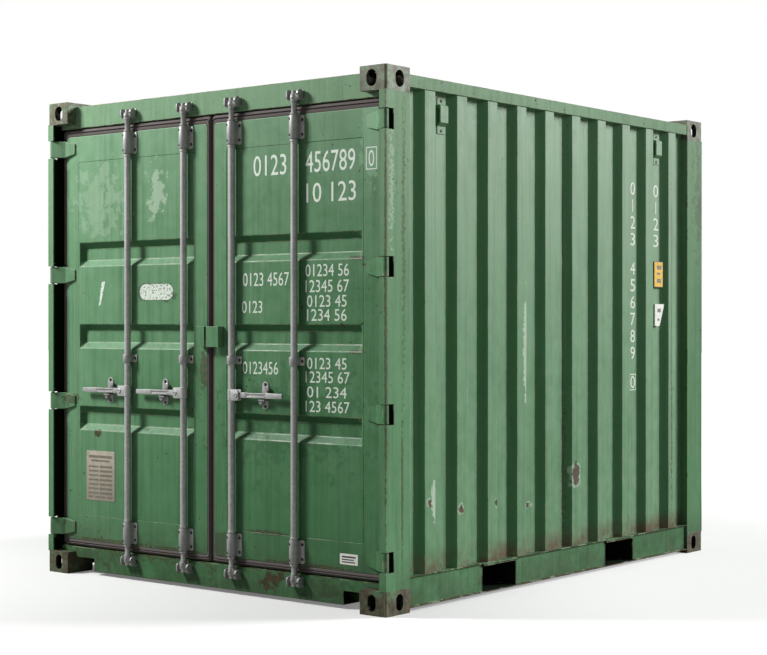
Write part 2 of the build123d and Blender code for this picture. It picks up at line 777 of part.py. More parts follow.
def gasket_ring(inset, width, depth, thickness):
    """Return a rounded frame of this width, inset from the gasket's outer edge."""
    x0, x1 = GASKET_CENTRE_GAP / 2 + inset, LEAF_OUTER_X + GASKET_SIDE - inset
    z0, z1 = LEAF_BOTTOM - GASKET_BOTTOM + inset, LEAF_TOP + GASKET_TOP - inset
    plane = front_plane((x0 + x1) / 2, (z0 + z1) / 2, depth)
    outer = RectangleRounded(x1 - x0, z1 - z0, LEAF_CORNER)
    inner = RectangleRounded(x1 - x0 - 2 * width, z1 - z0 - 2 * width, LEAF_CORNER - width / 2)
    return extrude(plane * (outer - inner), -thickness)


def leaf_gasket():
    """Return the rubber seal round the right-hand leaf, grooved round its face."""
    depth = LEAF_DEPTH + GASKET_SETBACK
    x0, x1 = GASKET_CENTRE_GAP / 2, LEAF_OUTER_X + GASKET_SIDE
    z0, z1 = LEAF_BOTTOM - GASKET_BOTTOM, LEAF_TOP + GASKET_TOP
    plane = front_plane((x0 + x1) / 2, (z0 + z1) / 2, depth)
    seal = extrude(plane * RectangleRounded(x1 - x0, z1 - z0, LEAF_CORNER), -GASKET_THICKNESS)
    inner = front_plane((LEAF_INNER_X + LEAF_OUTER_X) / 2, (LEAF_BOTTOM + LEAF_TOP) / 2, depth)
    hole = RectangleRounded(LEAF_OUTER_X - LEAF_INNER_X, LEAF_TOP - LEAF_BOTTOM, LEAF_CORNER)
    seal -= extrude(inner * hole, -GASKET_THICKNESS)
    return seal - gasket_ring(GASKET_LIP, GASKET_GROOVE, depth - OVERCUT, GASKET_GROOVE_DEPTH + OVERCUT)


def hinge_blade(z):
    """Return one cranked hinge blade of the right-hand leaf, tapering to its tip."""
    face = inward(LEAF_DEPTH)
    pin_y = inward(PIN_INSET)
    side = (KNUCKLE_RADIUS ** 2 - (KNUCKLE_RADIUS / 3) ** 2) ** 0.5
    plan = [
        (BLADE_TIP_X, face), (BLADE_TIP_X, face - BLADE_TIP_THICKNESS),
        (LEAF_OUTER_X - BLADE_TIP_THICKNESS, face - BLADE_ROOT_THICKNESS),
        (PIN_X - KNUCKLE_RADIUS / 3, pin_y - side),
        (PIN_X + KNUCKLE_RADIUS / 3, pin_y + side),
        (LEAF_OUTER_X - BLADE_TIP_THICKNESS / 2, face),
    ]
    half = BLADE_HEIGHT / 2
    tip = BLADE_TIP_HEIGHT / 2
    blade = upright_prism(plan, z - half, z + half)
    blade += pillar(PIN_X, pin_y, KNUCKLE_RADIUS, z - half, z + half)
    blade -= pillar(PIN_X, pin_y, PIN_RADIUS + PIN_PLAY, z - half - OVERCUT, z + half + OVERCUT)
    elevation = [
        (BLADE_TIP_X, z - tip), (LEAF_OUTER_X, z - half), (SIDE, z - half),
        (SIDE, z + half), (LEAF_OUTER_X, z + half), (BLADE_TIP_X, z + tip),
    ]
    return blade & long_prism(elevation, inward(-OVERCUT), face + OVERCUT)


def hinge_blades():
    """Return the hinge blades of the right-hand leaf."""
    return [hinge_blade(z) for z in hinge_heights()]


def rod_bearing(x, z, plate_height, body_height, corner):
    """Return a plate on a leaf with a half-round housing that a rod turns in."""
    face = inward(LEAF_DEPTH)
    axis_y = inward(ROD_DEPTH)
    plate = front_plane(x, z, LEAF_DEPTH) * RectangleRounded(BEARING_WIDTH, plate_height, corner)
    bearing = extrude(plate, BEARING_THICKNESS)
    z0, z1 = z - body_height / 2, z + body_height / 2
    bearing += block(x - BEARING_RADIUS, x + BEARING_RADIUS, axis_y, face, z0, z1)
    bearing += pillar(x, axis_y, BEARING_RADIUS, z0, z1)
    return bearing - pillar(x, axis_y, ROD_RADIUS + ROD_PLAY, z0 - OVERCUT, z1 + OVERCUT)


def rod_brackets(places):
    """Return the bearings and middle straps of the rods at these places."""
    solids = []
    for x in places:
        for z in BEARING_CENTRES:
            solids.append(rod_bearing(x, z, BEARING_HEIGHT, BEARING_BODY_HEIGHT, BEARING_CORNER))
        solids.append(rod_bearing(x, STRAP_CENTRE, STRAP_HEIGHT, STRAP_HEIGHT, BEARING_CORNER / 2))
    return Compound(children=solids)


def cam(x, z, swing):
    """Return a rod's end head: a hub with worked edges, a nose towards its handle, and a pin."""
    axis_y = inward(ROD_DEPTH)
    z0, z1 = z - CAM_HEIGHT / 2, z + CAM_HEIGHT / 2
    hub = pillar(x, axis_y, CAM_HUB, z0, z1)
    hub = chamfer(hub.edges().filter_by(GeomType.CIRCLE), CAM_EDGE)
    nose = Pos(x + swing * CAM_REACH / 2, axis_y, z) * stadium(
        CAM_REACH + CAM_NOSE / 2, CAM_NOSE, CAM_HEIGHT - 2 * CAM_EDGE,
    )
    limit = pillar(x, axis_y, CAM_REACH, z0, z1)
    pin = cross_bar(x, z, CAM_PIN, axis_y - CAM_HUB - CAM_PIN_PROUD, axis_y)
    return hub + (nose & limit) + pin


def handle_fork(x, swing):
    """Return the hub on a rod with two ears and the bolt that a handle turns on."""
    axis_y = inward(ROD_DEPTH)
    half = HANDLE_THICKNESS / 2 + EAR_PLAY
    fork = pillar(x, axis_y, HUB_RADIUS, HANDLE_Z - HUB_HEIGHT / 2, HANDLE_Z + HUB_HEIGHT / 2)
    ear_length = HANDLE_PIVOT + EAR_END
    for start in (HANDLE_DEPTH - half - EAR_THICKNESS, HANDLE_DEPTH + half):
        plane = front_plane(x + swing * ear_length / 2, HANDLE_Z, start + EAR_THICKNESS)
        ear = extrude(plane * RectangleRounded(ear_length, EAR_HEIGHT, EAR_CORNER), EAR_THICKNESS)
        fork += ear
    front = inward(HANDLE_DEPTH - half - EAR_THICKNESS)
    back = inward(HANDLE_DEPTH + half + EAR_THICKNESS)
    pivot_x = x + swing * HANDLE_PIVOT
    fork += cross_bar(pivot_x, HANDLE_Z, BOLT_RADIUS, front, back)
    fork += cross_bar(pivot_x, HANDLE_Z, BOLT_HEAD, front - BOLT_PROUD, front)
    fork += cross_bar(pivot_x, HANDLE_Z, BOLT_HEAD, back, back + BOLT_PROUD)
    return fork


def rod_swing(index):
    """Return the side that a rod's handle points to: outwards from the middle of the doors."""
    return -1 if ROD_PLACES[index] < 0 else 1


def lock_rod(index):
    """Return one lock rod with its cams, collars and, if it has one, its handle fork."""
    x = ROD_PLACES[index]
    swing = rod_swing(index)
    axis_y = inward(ROD_DEPTH)
    low_cam, high_cam = CAM_CENTRES
    neck = CAM_HEIGHT / 2 + CAM_NECK_LENGTH
    rod = pillar(x, axis_y, ROD_RADIUS, low_cam + neck, high_cam - neck)
    rod += pillar(x, axis_y, CAM_NECK, low_cam, high_cam)
    for z in CAM_CENTRES:
        rod += cam(x, z, swing)
    reach = BEARING_HEIGHT / 2 + COLLAR_PLAY
    low, high = BEARING_CENTRES
    rod += pillar(x, axis_y, COLLAR_RADIUS, low + reach, low + reach + COLLAR_HEIGHT)
    rod += pillar(x, axis_y, COLLAR_RADIUS, high - reach - COLLAR_HEIGHT, high - reach)
    if ROD_HAS_HANDLE[index]:
        rod += handle_fork(x, swing)
    return rod


def handle(index):
    """Return a flat handle with an eye at its bolt and a deeper, rounded grip at its end."""
    swing = rod_swing(index)
    x = ROD_PLACES[index]
    pivot_x = x + swing * HANDLE_PIVOT
    tip_x = x + swing * HANDLE_LENGTH
    middle_y = inward(HANDLE_DEPTH)
    turned = Rot(90, 0, 0)
    bar_length = HANDLE_LENGTH - HANDLE_PIVOT + HANDLE_EYE
    bar_x = (pivot_x - swing * HANDLE_EYE + tip_x) / 2
    bar = Pos(bar_x, middle_y, HANDLE_Z) * turned * stadium(bar_length, HANDLE_HEIGHT, HANDLE_THICKNESS)
    plane = front_plane(tip_x - swing * GRIP_LENGTH / 2, HANDLE_Z, HANDLE_DEPTH + HANDLE_THICKNESS / 2)
    grip = extrude(plane * RectangleRounded(GRIP_LENGTH, GRIP_HEIGHT, GRIP_ROUND), HANDLE_THICKNESS)
    half = HANDLE_THICKNESS / 2 + OVERCUT
    hole = cross_bar(pivot_x, HANDLE_Z, BOLT_RADIUS + PIN_PLAY, middle_y - half, middle_y + half)
    return bar + grip - hole


def handle_catch(index):
    """Return the catch that holds a handle against its leaf."""
    offset = CATCH_OFFSET if ROD_PLACES[index] < 0 else RIGHT_CATCH_OFFSET
    x = ROD_PLACES[index] + rod_swing(index) * offset
    face = inward(LEAF_DEPTH)
    plate = stadium(CATCH_PLATE_LENGTH, CATCH_PLATE_WIDTH, CATCH_PLATE_THICKNESS)
    plate = Rot(90, 0, 0) * Rot(0, 0, 90) * plate
    catch = Pos(x, face - CATCH_PLATE_THICKNESS / 2, HANDLE_Z) * plate
    flap_y = inward(HANDLE_DEPTH + HANDLE_THICKNESS / 2 + CATCH_CLEARANCE + CATCH_FLAP_THICKNESS / 2)
    catch += block(
        x - CATCH_BODY_WIDTH / 2, x + CATCH_BODY_WIDTH / 2, flap_y, face,
        HANDLE_Z - CATCH_BODY_HEIGHT / 2, HANDLE_Z + CATCH_BODY_HEIGHT / 2,
    )
    flap = Rot(90, 0, 0) * stadium(CATCH_FLAP_LENGTH, CATCH_FLAP_WIDTH, CATCH_FLAP_THICKNESS)
    catch += Pos(x, flap_y, HANDLE_Z) * Rot(0, CATCH_FLAP_TURN - 90, 0) * flap
    shelf_top = HANDLE_Z - HANDLE_HEIGHT / 2 - CATCH_CLEARANCE
    catch += block(
        x - CATCH_SHELF_WIDTH / 2, x + CATCH_SHELF_WIDTH / 2,
        inward(HANDLE_DEPTH - HANDLE_THICKNESS / 2), face,
        shelf_top - CATCH_SHELF_THICKNESS, shelf_top,
    )
    return catch


def handle_catches(indices):
    """Return the catches of these handles."""
    return Compound(children=[handle_catch(index) for index in indices])


def seal_cover(outer_x):
    """Return one half of the seal cover, open underneath and towards the other half."""
    side = 1 if outer_x > 0 else -1
    face = inward(LEAF_DEPTH)
    front = face - SEAL_DEPTH
    wall = SEAL_WALL
    inner_x = side * GASKET_CENTRE_GAP / 2
    cover = block(inner_x, outer_x, front, face, SEAL_BOTTOM, SEAL_TOP)
    return cover - block(
        inner_x - side * OVERCUT, outer_x - side * wall, front + wall, face + OVERCUT,
        SEAL_BOTTOM - OVERCUT, SEAL_TOP - wall,
    )


def build_nodes():
    """Return every sub-part under its own name."""
    blades = hinge_blades()
    nodes = {
        "top_corner_castings": corner_set(TOP_SIDE_HOLE, True),
        "bottom_corner_castings": corner_set(BOTTOM_SIDE_HOLE, False),
        "right_door_post": door_post(),
        "left_door_post": left_copy(door_post()),
        "right_end_post": end_post(),
        "left_end_post": left_copy(end_post()),
        "door_header": door_header(),
        "door_sill": door_sill(),
        "end_header": end_header(),
        "end_sill": end_sill(),
        "right_top_rail": top_rail(),
        "left_top_rail": left_copy(top_rail()),
        "right_bottom_rail": bottom_rail(),
        "left_bottom_rail": left_copy(bottom_rail()),
        "right_side_wall": side_wall(),
        "left_side_wall": left_copy(side_wall()),
        "end_wall": end_wall(),
        "roof_panel": roof_panel(),
        "floor_boards": floor_boards(),
        "cross_members": cross_members(),
        "fork_pockets": fork_pockets(),
        "right_vents": vents(),
        "left_vents": Compound(children=[left_copy(vent(y)) for y in (-VENT_Y, VENT_Y)]),
        "cam_keepers": cam_keepers(),
        "hinge_pins": hinge_pins(),
        "right_leaf_frame": leaf_frame(),
        "left_leaf_frame": left_copy(leaf_frame()),
        "right_leaf_panel": leaf_panel(),
        "left_leaf_panel": left_copy(leaf_panel()),
        "right_gasket": leaf_gasket(),
        "left_gasket": left_copy(leaf_gasket()),
        "right_hinge_blades": Compound(children=blades),
        "left_hinge_blades": Compound(children=[left_copy(blade) for blade in blades]),
        "left_rod_brackets": rod_brackets(ROD_PLACES[:2]),
        "right_rod_brackets": rod_brackets(ROD_PLACES[2:]),
        "left_handle_catches": handle_catches([0, 1]),
        "right_handle_catch": handle_catch(2),
        "left_seal_cover": seal_cover(-SEAL_LEFT_X),
        "right_seal_cover": seal_cover(SEAL_RIGHT_X),
    }
    for index in range(len(ROD_PLACES)):
        nodes[f"lock_rod_{index + 1}"] = lock_rod(index)
        if ROD_HAS_HANDLE[index]:
            nodes[f"handle_{index + 1}"] = handle(index)
    return nodes


def main():
    """Write one STEP file for each sub-part."""
    os.makedirs("parts", exist_ok=True)
    for name, shape in build_nodes().items():
        export_step(shape, f"parts/{name}.step")


main()
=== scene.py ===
"""Dress a ten-foot steel freight container: paint, pressed sheets, lock gear, plates and numbers.

Lengths are metres. +Z is up, the door end faces -Y, left and right are as seen facing the doors.
"""

import json
import math

import bmesh
import bpy
from mathutils import Matrix, Vector
from mathutils.bvhtree import BVHTree

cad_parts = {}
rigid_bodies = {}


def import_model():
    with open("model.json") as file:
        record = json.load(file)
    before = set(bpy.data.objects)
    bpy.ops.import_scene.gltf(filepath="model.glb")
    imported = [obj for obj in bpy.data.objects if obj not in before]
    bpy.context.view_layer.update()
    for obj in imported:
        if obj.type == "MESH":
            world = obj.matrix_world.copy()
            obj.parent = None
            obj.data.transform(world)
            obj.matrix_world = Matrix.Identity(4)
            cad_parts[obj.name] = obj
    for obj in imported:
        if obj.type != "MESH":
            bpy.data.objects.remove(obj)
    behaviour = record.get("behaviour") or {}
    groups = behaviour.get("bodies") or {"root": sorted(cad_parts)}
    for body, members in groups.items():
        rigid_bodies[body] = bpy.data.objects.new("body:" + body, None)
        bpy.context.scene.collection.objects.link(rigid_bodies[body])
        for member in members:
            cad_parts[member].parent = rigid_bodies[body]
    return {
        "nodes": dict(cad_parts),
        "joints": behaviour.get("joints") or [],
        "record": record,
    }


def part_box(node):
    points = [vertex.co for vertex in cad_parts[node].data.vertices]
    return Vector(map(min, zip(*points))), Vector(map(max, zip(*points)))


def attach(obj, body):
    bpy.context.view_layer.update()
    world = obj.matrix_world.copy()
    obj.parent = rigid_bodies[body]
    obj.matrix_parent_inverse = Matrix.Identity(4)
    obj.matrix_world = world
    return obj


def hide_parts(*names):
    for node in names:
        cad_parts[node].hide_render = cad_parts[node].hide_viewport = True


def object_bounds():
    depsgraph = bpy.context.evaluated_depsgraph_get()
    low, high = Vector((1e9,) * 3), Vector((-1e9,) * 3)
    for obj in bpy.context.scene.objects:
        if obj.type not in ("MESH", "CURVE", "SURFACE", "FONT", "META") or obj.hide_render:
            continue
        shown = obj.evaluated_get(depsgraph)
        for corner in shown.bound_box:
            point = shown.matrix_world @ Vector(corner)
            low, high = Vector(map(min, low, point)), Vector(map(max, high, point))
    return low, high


bl_info = {
    "name": "Freight container finish",
    "version": (1, 0, 0),
    "blender": (4, 5, 0),
    "location": "View3D > Sidebar > Container",
    "description": "Finishes a short steel freight container, piece by piece",
    "category": "Object",
}

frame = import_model()
PLAIN_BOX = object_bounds()

SIDE = PLAIN_BOX[1].x
DOOR_END = PLAIN_BOX[0].y
MM = 0.001
# FACING stands a flat form up to face the door end, and SIDEWAYS turns it to face +X.
FACING = Matrix.Rotation(math.radians(90), 4, "X")
SIDEWAYS = Matrix(((0, 0, 1, 0), (1, 0, 0, 0), (0, 1, 0, 0), (0, 0, 0, 1)))
SHARP_BEND = math.radians(50)
WORN_WIDTH = 0.004
SAME_CORNER = 0.00002
# Painted shade: the shade mark's level on the side walls' slopes, up to which paint is painted deeper,
# greener and less dusty.
GREEN_SHADE_LEVEL = 0.38

# Marks on the right wall, in mm: from y, to y, from z, to z.
WALL_FACE = 1195
WALL_RUST = (
    (75, 173, 489, 626), (-621, -570, 438, 493), (-931, -882, 430, 484), (-348, -247, 400, 440),
    (-1177, -1131, 481, 534), (-858, -808, 933, 1095),
)
WALL_SCRAPES = ((-375, -302, 975, 1549), (-1146, -1083, 419, 618))
WALL_SEAMS = ((37, 47, 250, 2400), (-1105, -1095, 250, 1600), (1139, 1149, 300, 2300))
# Marks on the leaves: colour, middle x, middle z, half width, half height, strength.
LEAF_PATCHES = (
    ("grime", -0.408, 1.542, 0.150, 0.052, 0.60), ("scraped", -0.873, 2.040, 0.164, 0.175, 0.20),
    ("scraped", -0.407, 2.055, 0.055, 0.115, 0.45), ("rust", -0.750, 0.196, 0.300, 0.009, 0.60),
    ("rust", -0.250, 0.194, 0.200, 0.008, 0.60), ("rust", 0.650, 0.194, 0.300, 0.008, 0.60),
    ("rust", -0.873, 0.778, 0.030, 0.022, 0.85), ("rust", -0.050, 1.140, 0.030, 0.110, 0.60),
    # The faded patch at the top of the right stile is a painted highlight.
    ("rust", 0.405, 0.330, 0.150, 0.012, 0.60), ("faded", 1.080, 2.300, 0.070, 0.240, 0.80),
    ("rust", 0.985, 1.690, 0.050, 0.010, 0.70), ("rust", 0.985, 1.240, 0.050, 0.010, 0.60),
    # The deep patch low on the right leaf is painted shade.
    ("deep", 0.560, 0.900, 0.400, 0.200, 0.35), ("rust", -1.080, 0.960, 0.060, 0.030, 0.55),
    ("grime", 0.060, 0.250, 0.080, 0.060, 0.50),
)
# Digits on the right leaf, in mm: text, left, right, bottom, top.
DOOR_ROWS = (
    ("0123", 305, 530, 2113, 2216), ("456789", 658, 980, 2113, 2216), ("0", 1063, 1099, 2122, 2200),
    ("10 123", 664, 984, 1966, 2062), ("0123 4567", 231, 548, 1563, 1630),
    ("0123", 224, 366, 1428, 1489), ("0123456", 230, 474, 1121, 1184),
    ("01234 56", 658, 940, 1605, 1665), ("12345 67", 658, 940, 1528, 1588),
    ("0123 45", 668, 925, 1456, 1514), ("1234 56", 668, 925, 1388, 1446),
    ("0123 45", 668, 925, 1153, 1209), ("12345 67", 658, 944, 1086, 1142),
    ("01 234", 668, 925, 1014, 1068), ("123 4567", 658, 944, 943, 998),
)
# Upright digits on the right wall, in mm: text, middle y, top, half width.
WALL_COLUMNS = (("0123 456789 0", 768, 2185, 25), ("0123", 1024, 2185, 28))
DIGIT_HEIGHT, DIGIT_PITCH, SPACE_PITCH = 72, 97, 70
BOX_MARGINS = (9, 11)
BOX_LINE = 0.005
# Plates, labels and bolts: colour, colour of the stains, least roughness.
COATS = {
    # The bolts are near-black, partly as painted shade so that their heads read as recessed.
    "dark_bolts": ((0.030, 0.026, 0.022), (0.012, 0.009, 0.007), 0.45),
    "ghost_paint": ((0.080, 0.215, 0.096), (0.105, 0.255, 0.125), 0.45),
    "plate_metal": ((0.36, 0.33, 0.26), (0.16, 0.13, 0.09), 0.40),
    "plate_bars": ((0.17, 0.155, 0.12), (0.10, 0.08, 0.05), 0.45),
    "pale_label": ((0.80, 0.80, 0.76), (0.50, 0.48, 0.42), 0.45),
    "label_bars": ((0.045, 0.045, 0.042), (0.09, 0.08, 0.06), 0.45),
    "yellow_label": ((0.80, 0.46, 0.015), (0.50, 0.27, 0.015), 0.45),
}


def wall_patch(colour, box, strength, spread=(1, 1)):
    """Return a patch on the right wall, from its box in mm and how far it is spread."""
    y0, y1, z0, z1 = (value * MM for value in box)
    half = (0.08, (y1 - y0) / 2 * spread[0], (z1 - z0) / 2 * spread[1])
    return (colour, (WALL_FACE * MM, (y0 + y1) / 2, (z0 + z1) / 2), half, strength)


def length(name, description, default):
    """Return a setting that is a length in metres."""
    return bpy.props.FloatProperty(
        name=name, description=description, default=default, min=0, unit="LENGTH", precision=4,
    )


def length_vector(name, description, *default):
    """Return a setting of several lengths in metres."""
    return bpy.props.FloatVectorProperty(
        name=name, description=description, default=default, size=len(default), precision=4,
    )


def whole_number(name, description, default):
    """Return a setting that counts things."""
    return bpy.props.IntProperty(name=name, description=description, default=default, min=1)


def colour_setting(name, description, default):
    """Return a setting that is a colour."""
    return bpy.props.FloatVectorProperty(
        name=name, description=description, default=default, subtype="COLOR", size=3, min=0, max=1,
    )


class PaintSettings(bpy.types.PropertyGroup):
    """Colours of the paint, metal and rubber."""

    fresh: colour_setting("Paint", "Paint where it is soundest", (0.046, 0.158, 0.060))
    faded: colour_setting("Faded paint", "Paint bleached by the sun", (0.150, 0.300, 0.165))
    deep: colour_setting("Deep paint", "Paint in its darkest streaks", (0.018, 0.070, 0.023))
    scraped: colour_setting("Scraped paint", "Chalky paint where it was rubbed", (0.42, 0.52, 0.40))
    rust: colour_setting("Rust", "Rust in chips and along seams", (0.092, 0.036, 0.020))
    zinc: colour_setting("Zinc", "Galvanised lock gear", (0.50, 0.50, 0.49))
    rubber: colour_setting("Rubber", "Door seals", (0.020, 0.015, 0.014))
    grime: colour_setting("Grime", "Dirt low down and in recesses", (0.040, 0.036, 0.022))
    marking: colour_setting("Marking", "White of the painted numbers", (0.62, 0.68, 0.60))


class SheetSettings(bpy.types.PropertyGroup):
    """Shapes of the pressed sheets."""

    side_ridges: whole_number("Side ridges", "Ridges on each side wall", 10)
    end_ridges: whole_number("End ridges", "Ridges on the blind end", 8)
    pitch: length("Pitch", "Distance from ridge to ridge", 0.256)
    side_flat: length("Side flat", "Width of a side wall's ridge", 0.080)
    side_slope: length("Side slope", "Width of a side wall's slope", 0.048)
    end_flat: length("End flat", "Width of the blind end's ridge", 0.096)
    end_slope: length("End slope", "Width of the blind end's slope", 0.040)
    depth: length("Depth", "How far a ridge stands out", 0.036)
    thickness: length("Thickness", "Thickness of the wall sheets", 0.002)
    bend_radius: length("Bend radius", "Radius of each bend", 0.006)
    dent: length("Dents", "How far the walls are dented", 0.0010)
    trough_places: bpy.props.FloatVectorProperty(
        name="Troughs", description="Heights of the door troughs, in millimetres",
        size=3, default=(857, 1305, 1753),
    )
    trough_height: length("Trough height", "Height of a trough's mouth", 0.132)
    trough_flat: length("Trough flat", "Height of a trough's bottom", 0.064)
    trough_gap: length("Trough gap", "From a trough's end to the leaf's frame", 0.008)
    trough_end_slope: length("Trough end", "Length of the slope at a trough's end", 0.024)
    ribs: whole_number("Roof ribs", "Number of ribs across the roof", 12)
    rib_pitch: length("Rib pitch", "Distance between the roof's ribs", 0.209)
    rib_length: length("Rib length", "Length of a rib at its foot", 2.192)
    rib_base: length("Rib foot", "Width of a rib at its foot", 0.150)
    rib_flat: length("Rib top", "Width of a rib's flat top", 0.090)
    rib_end_slope: length("Rib end", "Length of the slope at a rib's end", 0.040)
    door_thickness: length("Door sheet", "Thickness of the door sheets", 0.003)


class GearSettings(bpy.types.PropertyGroup):
    """Sizes of the lock gear."""

    rod_radius: length("Rod radius", "Radius of a lock rod", 0.017)
    neck_radius: length("Neck radius", "Radius of a rod beyond its bearings", 0.0135)
    neck_length: length("Neck", "From a rod's tip to its cam", 0.014)
    collar_radius: length("Collar radius", "Radius of the collars and of the fork's hub", 0.020)
    collar_height: length("Collar", "Height of the collar inside a bearing", 0.012)
    outer_collar: length("Outer collar", "Height of the collar outside a bearing", 0.009)
    collar_gap: length("Collar gap", "From a bearing to its collar", 0.003)
    collar_round: length("Collar rounding", "Rounding of the collars", 0.0015)
    cam_radius: length("Cam radius", "Radius of a cam's hub", 0.018)
    cam_height: length("Cam height", "Height of a cam", 0.042)
    cam_edge: length("Cam edge", "Worked edge of a cam", 0.004)
    cam_reach: length("Cam reach", "From a rod's axis to the end of its cam's nose", 0.026)
    cam_nose: length("Cam nose", "Width of a cam's nose", 0.022)
    pin_radius: length("Cam pin", "Radius of the pin through a cam", 0.008)
    fork_height: length("Fork height", "Height of the fork's ears and hub", 0.058)
    ear_thickness: length("Ear", "Thickness of an ear of the fork", 0.006)
    ear_end: length("Ear end", "From a handle's bolt to the end of the ears", 0.016)
    ear_corner: length("Ear corner", "Radius of an ear's corners", 0.009)
    ear_play: length("Ear play", "Gap between an ear and the handle", 0.002)
    bolt_radius: length("Bolt", "Radius of a handle's bolt", 0.007)
    bolt_head: length("Bolt head", "Radius of a handle bolt's head", 0.011)
    handle_thickness: length("Handle", "Thickness of a handle", 0.012)
    handle_root: length("Handle root", "Height of a handle beside its fork", 0.028)
    handle_eye: length("Handle eye", "From a handle's bolt to its round end", 0.013)
    root_length: length("Root length", "From the fork to a handle's grooved middle", 0.050)
    waist_height: length("Waist", "Height of a handle's grooved middle", 0.024)
    groove_depth: length("Groove depth", "Depth of the groove on each side", 0.0035)
    groove_rail: length("Groove rail", "Height of the rail above and below the groove", 0.007)
    grip_length: length("Grip", "Length of a handle's grip", 0.120)
    grip_height: length("Grip height", "Height of the grip at its start", 0.029)
    grip_tip: length("Grip tip", "Height of the grip at its tip", 0.024)
    flange_thickness: length("Flange", "Thickness of a bearing's flange", 0.006)
    flange_corner: length("Flange corner", "Radius of a flange's corners", 0.010)
    flange_bolt_rise: length("Flange bolts", "From a bearing's middle to a row of its bolts", 0.036)
    housing_radius: length("Housing", "Radius of a bearing's housing", 0.025)
    keeper_plate: length("Keeper plate", "Thickness of a keeper's plate", 0.004)
    keeper_lug: length("Keeper lug", "Thickness of a keeper's lug", 0.006)
    keeper_horn: length("Keeper horn", "Thickness of a keeper's horn", 0.012)
    catch_plate: length_vector("Catch plate", "Length, width and thickness", 0.140, 0.045, 0.004)
    catch_body: length_vector("Catch body", "Width and height", 0.028, 0.060)
    catch_flap: length_vector("Catch flap", "Length, width and thickness", 0.108, 0.028, 0.007)
    flap_lean: bpy.props.FloatProperty(
        name="Flap lean", description="Turn of the flap from upright, in degrees", default=32,
    )
    flap_back: length("Flap standoff", "From the leaf to the back of the flap", 0.009)
    catch_shelf: length_vector(
        "Catch shelf", "Width, drop below the handle's middle and thickness", 0.040, 0.020, 0.006,
    )


class StageSettings(bpy.types.PropertyGroup):
    """Camera, lamps and floor."""

    lens: bpy.props.FloatProperty(
        name="Lens", description="Focal length for a 36 mm wide sensor", default=79.62,
        min=10, max=300, unit="CAMERA",
    )
    camera_place: bpy.props.FloatVectorProperty(
        name="Camera place", description="Where the camera stands", subtype="TRANSLATION",
        size=3, default=(6.2918, -7.5859, 1.3806), unit="LENGTH",
    )
    camera_turn: bpy.props.FloatProperty(
        name="Camera turn", description="Turn to the left of straight along +Y",
        default=math.radians(37.85), subtype="ANGLE", unit="ROTATION",
    )
    camera_tilt: bpy.props.FloatProperty(
        name="Camera tilt", description="Tilt above the level",
        default=math.radians(-0.17), subtype="ANGLE", unit="ROTATION",
    )
    camera_shift: bpy.props.FloatProperty(
        name="Camera shift", description="Sideways shift, as a share of the frame's width",
        default=-0.0782, min=-1, max=1,
    )
    key_strength: bpy.props.FloatProperty(
        name="Key light", description="Strength of the soft light from behind on the right",
        default=4.6, min=0, max=50,
    )
    fill_power: bpy.props.FloatProperty(
        name="Fill light", description="Power of the light in front on the left, in watts",
        default=660, min=0, max=5000,
    )
    sky: bpy.props.FloatProperty(
        name="Sky light", description="Strength of the even light from all round",
        default=0.13, min=0, max=5,
    )
    key_from: length_vector(
        "Key direction", "Where the soft light from behind comes from", 0.61, 0.76, 0.40,
    )
    key_spread: bpy.props.FloatProperty(
        name="Key spread", description="How soft the light from behind is",
        default=math.radians(24), subtype="ANGLE", unit="ROTATION",
    )
    fill_place: length_vector("Fill place", "Where the lamp in front hangs", -4.2, -4.7, 5.3)
    fill_size: length("Fill size", "Side of the square lamp in front", 1.5)


def put(tree, kind, inputs=None, **settings):
    """Add a node, give it its settings, and fill its inputs with values or links."""
    node = tree.nodes.new(kind)
    for name, value in settings.items():
        setattr(node, name, value)
    for key, value in (inputs or {}).items():
        feed(tree, node.inputs[key], value)
    return node


def feed(tree, socket, value):
    """Link an output to this input, or set the input to a value."""
    if isinstance(value, bpy.types.NodeSocket):
        tree.links.new(value, socket)
    elif hasattr(value, "__len__") and socket.type == "RGBA" and len(value) == 3:
        socket.default_value = (*value, 1)
    else:
        socket.default_value = value


def sums(tree, operation, *values, clamp=False):
    """Return the output of one Math node."""
    inputs = dict(enumerate(values))
    return put(tree, "ShaderNodeMath", inputs, operation=operation, use_clamp=clamp).outputs[0]


def vectors(tree, operation, *values):
    """Return the output of one Vector Math node, a number for a length or a dot product."""
    node = put(tree, "ShaderNodeVectorMath", dict(enumerate(values)), operation=operation)
    return node.outputs["Value" if operation in ("LENGTH", "DOT_PRODUCT") else "Vector"]


def own_place(tree):
    """Return the object's own coordinates."""
    return put(tree, "ShaderNodeTexCoord").outputs["Object"]


def face_mark(tree, name):
    """Return the value that a piece's faces or edges carry under this name."""
    return put(tree, "ShaderNodeAttribute", attribute_name=name).outputs["Fac"]


def ramp(tree, value, low, high, to_low=0.0, to_high=1.0, smooth=True):
    """Return a value eased from one range to another."""
    kind = "SMOOTHSTEP" if smooth else "LINEAR"
    node = put(tree, "ShaderNodeMapRange", {
        "Value": value, "From Min": low, "From Max": high, "To Min": to_low, "To Max": to_high,
    }, interpolation_type=kind)
    return node.outputs["Result"]


def blended(tree, share, first, second):
    """Return the mix of two colours, which are inputs 6 and 7 of a Mix node."""
    node = put(tree, "ShaderNodeMix", {0: share, 6: first, 7: second}, data_type="RGBA")
    return node.outputs[2]


def noise(tree, scale, detail=3.0, roughness=0.55, stretch=None, shift=None):
    """Return noise on the object's own coordinates, stretched and shifted as asked."""
    place = own_place(tree)
    if stretch or shift:
        mapping = put(tree, "ShaderNodeMapping", {
            "Vector": place, "Scale": stretch or (1, 1, 1), "Location": shift or (0, 0, 0),
        })
        place = mapping.outputs["Vector"]
    node = put(tree, "ShaderNodeTexNoise", {
        "Vector": place, "Scale": scale, "Detail": detail, "Roughness": roughness,
    })
    return node.outputs["Fac"]


